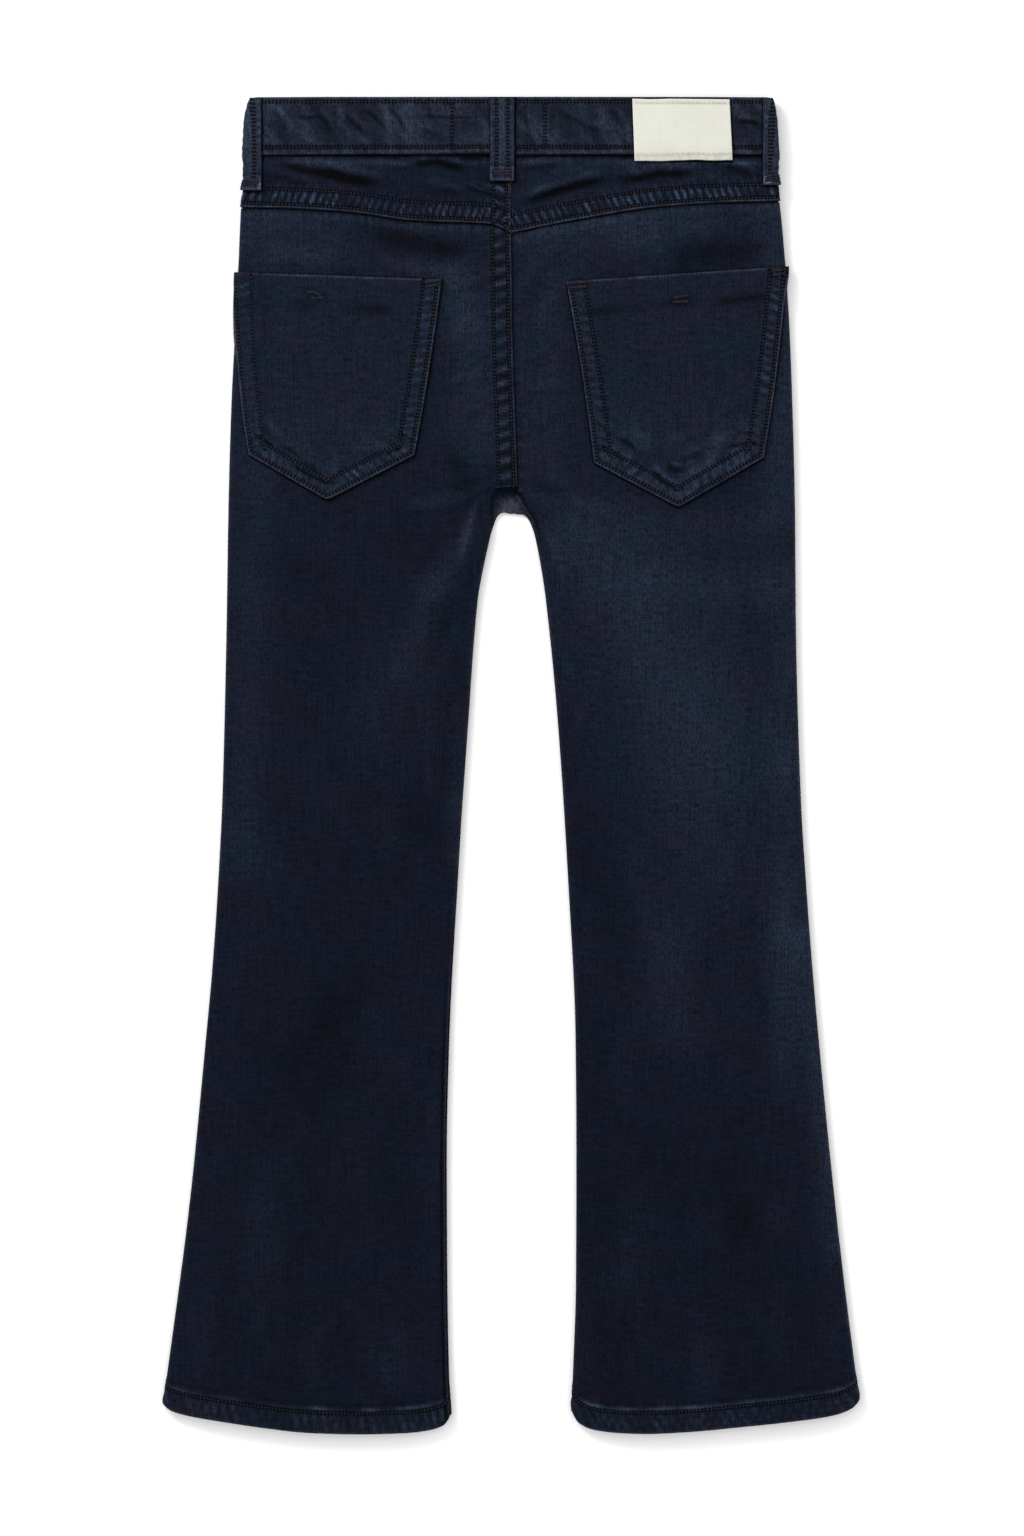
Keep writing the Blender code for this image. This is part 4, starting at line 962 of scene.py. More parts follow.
def spread(start, end, startSteps, endSteps, spacing, count=None):  # rows of places, close together at both ends
    way = np.sign(end - start)[:, None]
    first, last = start[:, None] + way * np.array(startSteps), end[:, None] - way * np.array(endSteps)[::-1]
    count = count or max(1, int(np.abs(last[:, 0] - first[:, -1]).max() / spacing))
    share = np.linspace(0, 1, count + 2)[1:-1]
    middle = first[:, -1:] + (last[:, :1] - first[:, -1:]) * share
    return np.concatenate([first, middle, last], axis=1)


def panelGrid(rows, outer, inner, outerSteps, innerSteps, spacing, topLine, lowLine):
    nearTop = smooth(1 - (rows - rows[0]) / panel["topReach"])[:, None]
    nearLow = smooth(1 - (rows[-1] - rows) / panel["hemReach"])[:, None]

    def dropAt(x):
        return rows[:, None] + (topLine(x) - rows[0]) * nearTop + (lowLine(x) - rows[-1]) * nearLow

    outerDrop, innerDrop = (dropAt(edge(rows)[:, None])[:, 0] for edge in (outer, inner))
    x = spread(outer(outerDrop), inner(innerDrop), outerSteps, innerSteps, spacing)
    return x, dropAt(x)


def legRows(first, crotchDrop, hipStep, legStep):
    hem = garment["length"] - np.array(panel["hemSteps"])
    crotch = crotchDrop + np.concatenate([np.arange(-6, -0.5, 1.0), np.arange(-0.4, 8, 0.6), np.arange(8.5, 16, 1.2)])
    hip = np.linspace(first, crotch[0], int((crotch[0] - first) / hipStep) + 1)[:-1]
    leg = np.linspace(crotch[-1], hem[0], int((hem[0] - crotch[-1]) / legStep) + 1)[1:-1]
    return np.concatenate([hip, crotch, leg, hem])


def hemWork(cloth, leg, seed, slant):
    x = cloth["x"]
    above = byX(leg["hemLine"], x) - cloth["drop"]
    inHem = smooth((panel["hemHeight"] + 1 - above) / 1.2)
    cloth["height"] += 0.3 * inHem
    relief = 0.8 * ripple(x + slant * above, panel["hemPitch"], seed) + 0.2 * ripple(x - slant * above, 2.6, seed + 4)
    between = smooth(above / 2.0) * smooth((panel["hemHeight"] - 0.4 - above) / 2.0)
    over = smooth((above - panel["hemHeight"]) / 1.0) * smooth((panel["hemHeight"] + 7 - above) / 6.0)
    cloth["height"] += relief * (0.34 * between + 0.12 * over)
    patchy = np.clip(0.8 + 1.0 * noise(x, 0.7 * above, 9.0, seed + 7), 0.1, 2)
    # the hem's puckers: paler tops, worn and with painted highlight, and painted shade in the hollows
    cloth["wear"] += patchy * (0.52 * np.clip(relief, 0, 1) ** 1.6 * between + 0.12 * np.clip(relief, 0, 1) * over)
    cloth["wear"] += 0.05 * between
    cloth["shade"] += 0.6 * np.clip(-relief, 0, 1) * between
    # a ridge above the row, painted pale as worn cloth and highlight, with painted shade above it
    ridge = above - panel["hemHeight"] + 0.5 * noise(x, 0, 12.0, seed + 8)
    cloth["height"] += 0.25 * bell(ridge - 2.0, 1.2)
    cloth["wear"] += 0.50 * bell(ridge - 1.9, 0.85) * patchy**2
    cloth["shade"] += 0.40 * bell(ridge - 4.6, 1.2) * np.clip(1.2 - 0.5 * patchy, 0, 1)
    # the folded bottom edge, chafed pale with painted sheen
    cloth["edge"] += 0.5 * bell(above - 0.3, 0.6)
    edge = np.linspace(leg["hemLine"]["x"].min() - 5, leg["hemLine"]["x"].max() + 5, 300)
    sewRow(cloth, pairs(edge, byX(leg["hemLine"], edge) - panel["hemHeight"]), dark=0.6)
    return 0.6 * inHem


backCreases = {
    "left": columns(
        creaseNames,
        (-74, 71, -16, 84, 3, 6, -0.45), (-137, 75, -90, 80, -3, 5, -0.25), (-30, 100, -8, 96, 2, 2.4, -0.25),
        (-32, 128, -10, 118, 2, 2.6, -0.25), (-28, 170, -9, 158, 2, 3, -0.25), (-36, 205, -12, 196, 2, 3, -0.35),
        (-40, 150, -12, 140, 2, 2.4, 0.2), (-60, 212, -20, 204, 3, 3.5, 0.25), (-15, 212, -28, 248, 3, 2.6, 0.7),
        (-36, 262, -64, 342, 6, 10, -0.15), (-24, 288, -30, 372, 3, 8, -0.2), (-140, 226, -92, 262, 5, 12, -0.15),
        (-50, 360, -42, 398, 3, 12, -0.25), (-130, 350, -96, 402, 6, 14, -0.15), (-84, 460, -96, 506, 4, 12, -0.2),
        (-62, 520, -48, 610, 5, 12, -0.15), (-120, 540, -132, 650, 4, 13, 0.15), (-140, 610, -150, 676, 3, 9, -0.15),
        (-90, 625, -84, 680, 2, 9, -0.15), (-58, 640, -62, 684, 2, 8, 0.15),
    ),
    "right": columns(
        creaseNames,
        (4, 114, 40, 73, -3, 5, -0.45), (12, 104, 46, 72, -3, 3, 0.3), (84, 82, 124, 78, 2, 8, -0.3),
        (4, 140, 24, 132, 2, 2.6, -0.25), (2, 176, 24, 168, 2, 3, -0.25), (8, 200, 34, 208, 2, 3.5, -0.35),
        (4, 150, 28, 146, 2, 2.4, 0.2), (24, 206, 60, 216, 3, 3.5, 0.25), (14, 222, 26, 258, -3, 3, 0.3),
        (30, 258, 56, 330, -4, 12, -0.15), (36, 380, 60, 470, -4, 12, -0.2), (142, 398, 142, 524, 2, 9, 0.3),
        (128, 230, 138, 330, 3, 10, -0.15), (44, 470, 38, 540, 3, 11, -0.15), (104, 420, 96, 500, 4, 13, -0.15),
        (122, 572, 126, 604, 3, 10, -0.25), (72, 560, 60, 640, 4, 12, 0.15), (150, 600, 160, 676, 3, 9, -0.15),
        (100, 640, 104, 684, 2, 9, 0.15), (56, 620, 50, 682, 2, 9, -0.15),
    ),
}
backLightAndShade = {
    "left": columns(
        lightShadeNames,
        (-24, 228, -42, 258, 6, 0.09), (-42, 258, -56, 300, 9, 0.08), (-62, 302, -72, 332, 16, 0.04),
        (-29, 320, -30, 400, 4, 0.06), (-37, 264, -44, 322, 5, -0.15), (-46, 380, -46, 384, 12, -0.08),
        (-89, 477, -92, 480, 16, -0.12), (-68, 72, -30, 79, 7, -0.42), (-118, 89, -84, 91, 4, -0.25),
        (-130, 70, -100, 82, 15, 0.11), (-30, 90, -26, 118, 9, 0.12), (-50, 84, -40, 90, 7, 0.06),
        (-20, 120, -18, 180, 12, 0.08), (-100, 240, -110, 330, 24, -0.06), (-132, 100, -142, 400, 12, 0.06),
        (-70, 380, -96, 500, 34, -0.14), (-112, 500, -124, 670, 36, -0.22), (-66, 560, -70, 670, 26, -0.12),
        (-30, 190, -23, 206, 6, -0.35), (-60, 222, -40, 240, 12, -0.10),
    ),
    "right": columns(
        lightShadeNames,
        (50, 250, 100, 340, 36, 0.09), (90, 300, 104, 400, 32, 0.08), (36, 236, 60, 270, 16, 0.05),
        (142, 398, 144, 520, 9, 0.04), (38, 380, 50, 520, 15, -0.12), (123, 588, 124, 592, 14, -0.12),
        (90, 84, 128, 80, 8, -0.42), (90, 94, 116, 92, 4, -0.2), (10, 68, 68, 64, 11, 0.13),
        (60, 76, 100, 66, 9, 0.08), (16, 96, 18, 190, 12, 0.05), (30, 224, 130, 226, 13, 0.07),
        (72, 252, 128, 256, 13, 0.10), (136, 60, 141, 214, 13, 0.13), (141, 250, 144, 350, 13, 0.11),
        (144, 350, 148, 440, 12, 0.08), (153, 440, 172, 600, 9, 0.17), (84, 445, 88, 485, 15, 0.08),
        (58, 560, 62, 672, 32, -0.24), (112, 560, 130, 670, 26, -0.22),
    ),
}


def makeBack(leg):
    inner, crotchDrop = innerSeams(leg, back)
    rows = legRows(panel["topDrop"], crotchDrop, *panel["backRowSteps"])
    rows = np.concatenate([rows[:1] + (0, 0.15, 0.5), rows[1:]])
    x, drop = panelGrid(
        rows, sideSeam(leg, back), inner, panel["sideSteps"], sewing["edgeSteps"], panel["backSpacing"],
        lambda x: byX(leg["yokeLine"], x) + garment["seamGap"] / 2, lambda x: byX(leg["hemLine"], x),
    )
    cloth = newCloth(x, drop, back)
    seed = 100 if leg is left else 200
    addUnevenness(cloth, seed)
    addCreases(cloth, backCreases[leg["word"]], seed + 10, tone=0.5)
    # the fold edges are painted paler, more on those facing right: edge wearing with painted sheen
    facesRight = (x > 100) | ((x < 0) & (x > -60))
    rubbed = np.where(facesRight, 0.50, 0.22) * (0.8 + 0.6 * noise(drop, 0, 14.0, seed + 5))
    cloth["edge"] += rubbed * bell(cloth["depth"] + 0.2, 1.3)
    paintLightAndShade(cloth, backLightAndShade[leg["word"]])
    cloth["wear"] += 0.03 * smooth((230 - drop) / 60)
    nearCrotch = smooth((238 - drop) / 16) * smooth((drop - 200) / 6) * (np.abs(x) < 18)
    if leg is left:
        sideways = -3.3 * bell(drop - 216, 8) * smooth((2 - x) / 5)  # the crotch is drawn up and to the side
        drawn = np.stack([sideways, 7.6 * bell(drop - 212.5, 6.0), 0 * drop], axis=-1)
        drawn = smooth(1 - cloth["depth"] / 20)[..., None] * drawn
        toSeam = smooth((drop - 60) / 8) * bell(x - byDrop(centreSeams, "back", drop), 6.0)  # the gap is closed
        drawn[..., 0] += garment["seamGap"] * toSeam * (drop < crotchDrop)
        cloth["place"] = cloth["place"] + drawn * (x > -60)[..., None]
        # painted shadow along the inner edge at the crotch
        cloth["shade"] += 0.8 * nearCrotch * bell(cloth["depth"] + 0.6, 1.6)
        # a painted shade line along the inseam, with a paler strip beside it
        inseam = smooth((drop - 430) / 90) * (x > -60)
        cloth["shade"] += 1.0 * inseam * bell(cloth["depth"] - 2.9, 0.9)
        cloth["edge"] += 0.35 * inseam * bell(cloth["depth"] - 0.9, 0.9)
    else:
        drawn = 2.6 * smooth(1 - cloth["depth"] / 16) * bell(drop - 212.5, 5.5) * (x < 60)
        cloth["place"][..., 0] -= drawn
        # a pale strip along the edge at the crotch, with a painted shadow line beside it
        cloth["edge"] += 0.6 * smooth((218 - drop) / 8) * nearCrotch * bell(cloth["depth"] - 0.5, 0.8)
        cloth["shade"] += 0.9 * nearCrotch * bell(cloth["depth"] - 2.3, 0.8)
    # a painted shadow line around the pocket laid on top
    layOver(cloth, list(leg["pocket"].values()))
    roundBorders(cloth, garment["edgeRadius"])
    drops = np.linspace(60, crotchDrop - 0.5, 260)
    seam = pairs(centreSeam(left, back)(drops), drops)
    if leg is left:
        addLap(cloth, seam, panel["centrePitch"], seed + 60, rows=panel["centreRows"], pucker=0.6, slant=-0.3,
               vary=0.24, glow=0.66, patchy=0.35, reach=0.62, rubbed=0.5, hollows=0.8)
        for distance in panel["centreRows"]:
            sewRow(cloth, seam - (distance, 0), dark=0.4)
    else:
        away, run = awayFrom(pathData(seam), cloth, 12)
        # painted shadow beside the lapped centre seam's edge, and puckers painted pale on top
        cloth["shade"] += 0.8 * bell(away, 0.9) + 0.15 * bell(away - 1.5, 1.5)
        addRelief(cloth, ripple(run, 8.0, seed + 60) * smooth((9 - away) / 7), 0.16, 0.12)
    below = np.clip(drop - byX(leg["yokeLine"], x), 0, None)
    # puckers under the yoke: pale tops, worn and with painted highlight, and painted shade in the hollows
    addRelief(cloth, ripple(x, 5.2, seed + 70) * smooth((9 - below) / 8), 0.14, 0.16, 0.25)
    # a wandering painted shadow under the yoke's lapped edge, with a paler line below it
    wander = 0.5 * noise(x, 0, 9.0, seed + 75)
    cloth["shade"] += smooth((1.5 + wander - below) / 1.1)
    cloth["wear"] += 0.10 * bell(below - 3.4, 1.3)
    hemInside = hemWork(cloth, leg, seed + 80, 0.25 if leg is left else 0.55)
    return finishCloth("back_" + leg["word"], cloth, garment["cloth"] + hemInside, "denim",
                       ["front_" + leg["word"]])[0]


backSkins = {leg["word"]: makeBack(leg) for leg in (left, right)}


# ---- where the belt loops and the patch go, over the waistband and the yokes

beltLoop = {
    "width": 12.6,
    "thickness": 1.3,
    "edgeRadius": 0.55,
    "spacing": 0.7,
    "rise": 0.3,
    "foldedEnd": 0.9,
    "rowInsets": (3.4, 9.2),
    "sideInsets": (3.8, 11.2),  # from the back edge
    "aroundFold": 2.6,
    "tackRows": (4.9, 3.5),
    "tails": {
        "belt_loop_side_left": (((-133, 46.2), (-131.9, 45.2), (-131.7, 46.6)), ((-133, 47.2), (-131.9, 47.6))),
        "belt_loop_side_right": (((132.6, 41.6), (131.7, 42.4), (131.6, 44.2)), ((134.6, 44.8), (132.2, 45))),
    },
    "centre": {"middle": -5.4, "top": 0.9, "low": 44.0},
    "sideLeft": {"backEdge": -131.4, "top": 0.8, "low": 48.8},
    "sideRight": {"backEdge": 130.9, "top": 0.7, "low": 46.0},
    "frontLeft": {"middle": -72.0, "top": 1.2, "low": 43.0},
    "frontRight": {"middle": 73.0, "top": 1.2, "low": 43.0},
}
patch = {
    "corners": ((62.6, 1.2), (113.4, 1.4), (115, 33.2), (63.8, 33.4)),  # from the top left, clockwise
    "thickness": 0.8,
    "edgeRadius": 0.35,
    "rise": 0.3,
    "rowDrops": (2, 3),  # below the top edge and above the low one
    "tails": (((63.4, 3.6), (65.4, 2.4)), ((112.6, 3.8), (110.8, 2.6))),
}


def layOnBack(cloth):
    # painted shadow lines beside the belt loops and the patch
    top, middle, half = -12, beltLoop["centre"]["middle"], beltLoop["width"] / 2
    for word, start, end, shift in (("centre", middle - half, middle + half, 0.3),
                                    ("sideLeft", -170, beltLoop["sideLeft"]["backEdge"], 0.1),
                                    ("sideRight", 170, beltLoop["sideRight"]["backEdge"], 0.1)):
        low = beltLoop[word]["low"]
        layOver(cloth, [(start, top), (end, top), (end, low), (start, low)], (shift, 0.5))
    layOver(cloth, patch["corners"])


# ---- yokes, which lap the backs

yokes = {
    "left": {
        "rows": (2.1, 9.8), "lapGlow": 0.92, "lapRubbed": 0.80, "wear": 0.0, "foldTone": 1.3,
        "brightBars": ((-112, 24), (-8, 9)),  # the middle and the reach of the lengths where the puckers are painted palest, as worn cloth and painted highlight
        "folds": (
            (((-131, 31), (-124.3, 33.9), (-115.6, 36.5), (-105.1, 39.1), (-94.7, 40), (-84.2, 42.6), (-73.7, 44.3),
              (-61.5, 46.5)), 2.6, 0.75),
            (((-104, 40.6), (-92, 41.6), (-80, 44.6), (-68, 47)), 2.6, 0.5),
            (((-57.1, 33.4), (-47.5, 34.7), (-40.6, 34.4), (-30.1, 36.5), (-20.5, 39.4)), 2, 1.3),
            (((-30, 31.9), (-22, 32.6), (-13, 33.2)), 1, 0.8),
            (((-26, 46.8), (-15.2, 50), (-8, 53), (-2.2, 55.6)), 0.9, 0.8),
            (((-22, 44.5), (-12, 48.4), (-3, 50.5)), 0.8, 0.5),
            (((-137, 44), (-126, 42), (-112, 45), (-100, 49)), 2.4, 0.35),
            (((-48, 49), (-36, 50), (-24, 54)), 2.8, 0.3),
        ),
    },
    "right": {
        "rows": (1.9, 8.9), "lapGlow": 1.25, "lapRubbed": 1.15, "wear": 0.03, "foldTone": 1.5,
        "brightBars": ((52, 30), (84, 16)),
        "folds": (
            (((1.3, 56.3), (10.9, 53.6), (22.3, 49.8), (32.7, 46.7), (42.3, 44.5), (54.5, 42.1)), 2, 1.1),
            (((49.3, 42.8), (63.3, 43), (77.2, 40.4), (89.4, 40), (102.5, 41)), 2.4, 0.7),
            (((18, 46.5), (30, 43), (44, 41)), 2.4, 0.3), (((3, 39), (14, 36.5), (26, 35.5)), 1.6, 0.4),
            (((108, 36), (118, 38), (128, 43)), 2.2, 0.5), (((84, 47), (98, 46), (112, 46.5)), 2.2, 0.25),
        ),
    },
}


def makeYoke(leg):
    yoke = yokes[leg["word"]]
    side, centre = sideSeam(leg, back), centreSeam(leg, back)
    top = garment["bandHeight"] + garment["seamGap"] / 2

    def across(drop):
        return spread(side(drop[:, 0]), centre(drop[:, -1]), panel["sideSteps"], sewing["edgeSteps"], None, 104)

    low = byX(leg["yokeLine"], across(np.full((1, 1), garment["bandHeight"]))) - garment["seamGap"] / 2
    fromLow = np.array(sewing["edgeSteps"])[::-1]
    share = np.concatenate([(0, 0.01, 0.03), np.linspace(0.07, 1, 16)])[:, None]
    drop = np.concatenate([top + (low - fromLow[0] - top) * share, low - fromLow[1:, None]])
    cloth = newCloth(across(drop), drop, back)
    seed = 300 if leg is left else 400
    addUnevenness(cloth, seed, 0.8)
    addFolds(cloth, yoke["folds"], seed + 10, tone=yoke["foldTone"])
    roundBorders(cloth, garment["edgeRadius"])
    edgeX = np.linspace(*sorted((leg["sign"] * 150, -1.0 + leg["sign"] * 0.15)), 300)
    edge = pairs(edgeX, byX(leg["yokeLine"], edgeX) - garment["seamGap"] / 2)
    bars = sum(bell(cloth["x"] - middle, reach) for middle, reach in yoke["brightBars"])
    addLap(cloth, edge, sewing["yokePitch"], seed + 40, rows=yoke["rows"], pucker=0.46, slant=0.3 * leg["sign"],
           vary=0.3, glow=yoke["lapGlow"] + 0.6 * bars, reach=0.6, rubbed=yoke["lapRubbed"])
    for distance in yoke["rows"]:
        sewRow(cloth, offsetPath(edge, distance), dark=0.45)
    cloth["wear"] += yoke["wear"]
    if leg is left:
        drops = np.linspace(28, 73, 60)
        seam = pairs(centre(drops), drops)
        before = cloth["height"].copy()
        addLap(cloth, seam, 8.0, seed + 60, pucker=0.3, slant=0.3)
        cloth["height"] = np.minimum(cloth["height"], np.maximum(before, 0) + 0.75)
        for distance in sewing["rows"]:
            sewRow(cloth, seam - (distance, 0))
    x, underBand = cloth["x"], cloth["drop"] - top
    wander = 0.7 * noise(x, 0, 14.0, seed + 75)
    # a wandering painted shadow under the waistband's low edge, a paler line below it, and puckers painted pale and
    # dark
    cloth["shade"] += 1.2 * smooth(1.6 + wander - underBand)
    cloth["wear"] += 0.16 * bell(underBand - 3.6 - wander, 1.3) * (1 + noise(x, 0, 8.0, seed + 77))
    addRelief(cloth, ripple(x, 5.6, seed + 80) * smooth((7 - underBand) / 6), 0.15, 0.10, 0.12)
    layOnBack(cloth)
    return finishCloth("yoke_" + leg["word"], cloth, garment["cloth"], "denim",
                       ["front_" + leg["word"]])[0]


yokeSkins = {leg["word"]: makeYoke(leg) for leg in (left, right)}

# ---- waistband, one strip all round with its ends lapped at the front

waistband = {
    "proud": 0.9,
    "wall": 2.3,
    "edgeRadius": 0.95,
    "shownHeight": 30.4,
    "outerEnd": 17.0,
    "innerEnd": -14.0,
    "stepSlope": 13.0,
    "rowDrops": (2.6, 26.3),
    "seams": (-31.4, 17),
    "spacing": 1.5,
    "frontSpacing": 2.6,
    "foldSteps": (0, 0.5, 1.1, 1.8, 2.6, 3.4, 4.3),
    "endSteps": (0, 0.1, 0.35, 0.8, 1.5, 2.3),
    "rows": (0, 0.1, 0.35, 0.8, 1.4, 2.1, 2.8, 3.5, 4.4, 5.6, 6.9, 8.2, 9.5, 10.8, 12.1, 13.4, 14.7, 16, 17.3, 18.6,
             19.9, 21.2, 22.5, 23.7, 24.7, 25.5, 26.2, 26.9, 27.7, 28.5, 29.2, 29.7, 30.05, 30.25, 30.35),
    "lowEdge": columns(  # its shadowed lower edge wanders
        "x drop",
        (-150, 30.7), (-130, 30.5), (-80, 29.8), (-45, 29.6), (-15, 29), (2, 30.2), (40, 29.9), (80, 29.6),
        (130, 29.9), (150, 30),
    ),
    "folds": (
        (((-127, 6), (-121, 12), (-117, 20)), 1.5, 0.6), (((-113, 9.5), (-107, 11), (-101, 10)), 1, 0.8),
        (((-104, 7), (-98, 13), (-94, 20)), 1.4, 0.6), (((-90, 8), (-83, 14), (-76, 21.5)), 1.5, 0.8),
        (((-78, 6), (-70, 13), (-64, 21)), 1.4, 0.7), (((-66, 5), (-60, 11), (-55, 20)), 1.3, 0.8),
        (((-57, 10.6), (-44, 10.1), (-30, 10.7), (-13, 10.4)), 0.8, 0.7),
        (((-26, 14), (-19, 15), (-12, 17.6)), 1.1, 0.5), (((-48, 17), (-40, 20), (-33, 23)), 1.5, 0.4),
        (((-136, 9), (-131, 15), (-130, 22)), 1.4, 0.5), (((24, 9), (33, 12), (40, 18)), 1.5, 0.5),
        (((36, 16), (46, 18), (56, 22)), 1.6, 0.5), (((6, 5), (7.5, 14), (9, 23)), 1, 0.4),
        (((20, 5), (21, 14), (20, 23)), 1, 0.4), (((50, 6), (56, 12), (60, 20)), 1.3, 0.5),
        (((115.5, 12.4), (124, 13), (131, 15.5)), 1.2, 1),
    ),
}


def makeWaistband():
    drops = np.array(waistband["rows"])
    pastEdge = foldRadius(drops) * (math.pi / 2 - 1)
    leftEnd = byDrop(outerEdges, "left", drops) - pastEdge
    rightEnd = byDrop(outerEdges, "right", drops) + pastEdge
    outerEnd, innerEnd = np.full_like(drops, waistband["outerEnd"]), np.full_like(drops, waistband["innerEnd"])
    foldSteps, endSteps, spacing = waistband["foldSteps"], waistband["endSteps"], waistband["frontSpacing"]
    strips = (
        (front, spread(outerEnd, leftEnd, endSteps, foldSteps, spacing)[:, :-1]),
        (back, spread(leftEnd, rightEnd, foldSteps, foldSteps, waistband["spacing"])),
        (front, spread(rightEnd, innerEnd, foldSteps, endSteps, spacing)[:, 1:]),
    )
    cloths, starts = [], np.cumsum([0] + [x.shape[1] for _, x in strips])
    for index, (side, x) in enumerate(strips):
        cloth = newCloth(x, drops[:, None], side)
        if side == back:
            addFolds(cloth, waistband["folds"], 510)
            layOnBack(cloth)
            for seamX in waistband["seams"]:
                sewRow(cloth, ((seamX, 4), (seamX, 24.5)), deep=0.8, dark=0.2, strips=(index,))
                cloth["height"] += 0.12 * bell(cloth["x"] - seamX - 1.5, 0.8)
        if index == 2:
            behind = smooth((waistband["outerEnd"] + waistband["stepSlope"] - x) / waistband["stepSlope"])
            behind = behind * (waistband["wall"] + garment["seamGap"])
            cloth["place"] = cloth["place"] - cloth["out"] * behind[..., None]
        cloths.append(cloth)
    cloth = joinStrips(cloths)
    down, across = np.gradient(cloth["place"], axis=(0, 1))
    cloth["out"] = unit(np.cross(down, across))
    cloth["sink"] += waistband["proud"]
    lengths, drop = runAlong(cloth["place"][10, :, :2]), cloth["drop"]
    run = lengths[None, :] + 0 * drop
    cloth["height"] += 0.22 * noise(run, 0.6 * drop, 11.0, 501) + 0.12 * noise(run, drop, 5.0, 502)
    slanted = run - 0.6 * drop  # streaks of painted light and shade that lean with the creases
    blotches = 0.6 * noise(slanted, 0.4 * drop, 6.0, 505) + 0.5 * noise(slanted, 0.5 * drop, 3.2, 506)
    addRelief(cloth, blotches, 0, 0.38, 0.50)
    # painted shadow below the band's wandering low edge, and a chafed line above it, pale with painted sheen
    lowEdge = np.where(cloth["clear"] < 9.5, byX(waistband["lowEdge"], cloth["x"]), 31)
    cloth["shade"] += 1.25 * smooth((drop - lowEdge) / 0.5)
    cloth["edge"] += 0.58 * bell(lowEdge - 1.0 - drop, 0.5) * (0.8 + 0.6 * noise(run, 0, 6.0, 507))
    cloth["wear"] += 0.05
    # puckers along the top and low edges: paler tops, worn and with painted highlight, and painted shade in the hollows
    for start, seed, pitch in ((0.0, 520, 5.4), (garment["bandHeight"], 530, 5.0)):
        away = np.abs(drop - start)
        relief = 0.8 * ripple(run + 0.3 * away, pitch, seed) + 0.2 * ripple(run - 0.4 * away, 2.3, seed + 3)
        rowAway = waistband["rowDrops"][0] if start == 0 else start - waistband["rowDrops"][1]
        between = smooth(away / 1.6) * smooth((rowAway + 0.3 - away) / 1.2)
        over = smooth((away - rowAway) / 0.9) * smooth((rowAway + 5 - away) / 4.5)
        amounts = (a * between + b * over for a, b in ((0.20, 0.13), (0.34, 0.20), (0.25, 0.16)))
        addRelief(cloth, relief, *amounts)
    # the folded top edge, chafed pale with painted sheen
    cloth["edge"] += 0.45 * bell(drop - 0.6, 0.5)
    for rowDrop, dark in zip(waistband["rowDrops"], (0.1, 1.0)):
        sewRow(cloth, ((-150, rowDrop), (150, rowDrop)), dark=dark, strips=range(3))
    roundBorders(cloth, waistband["edgeRadius"])
    length, height = float(lengths[-1]) * 0.001, garment["bandHeight"] * 0.001
    return finishCloth("waistband", cloth, waistband["wall"], "denim_trim", ["yoke_left", "yoke_right"],
                       size=(length, height), area=length * waistband["shownHeight"] * 0.001, held="folded",
                       strips=[slice(*ends) for ends in zip(starts, starts[1:])])


bandSkins = makeWaistband()

# ---- back pockets, sewn on with two rows

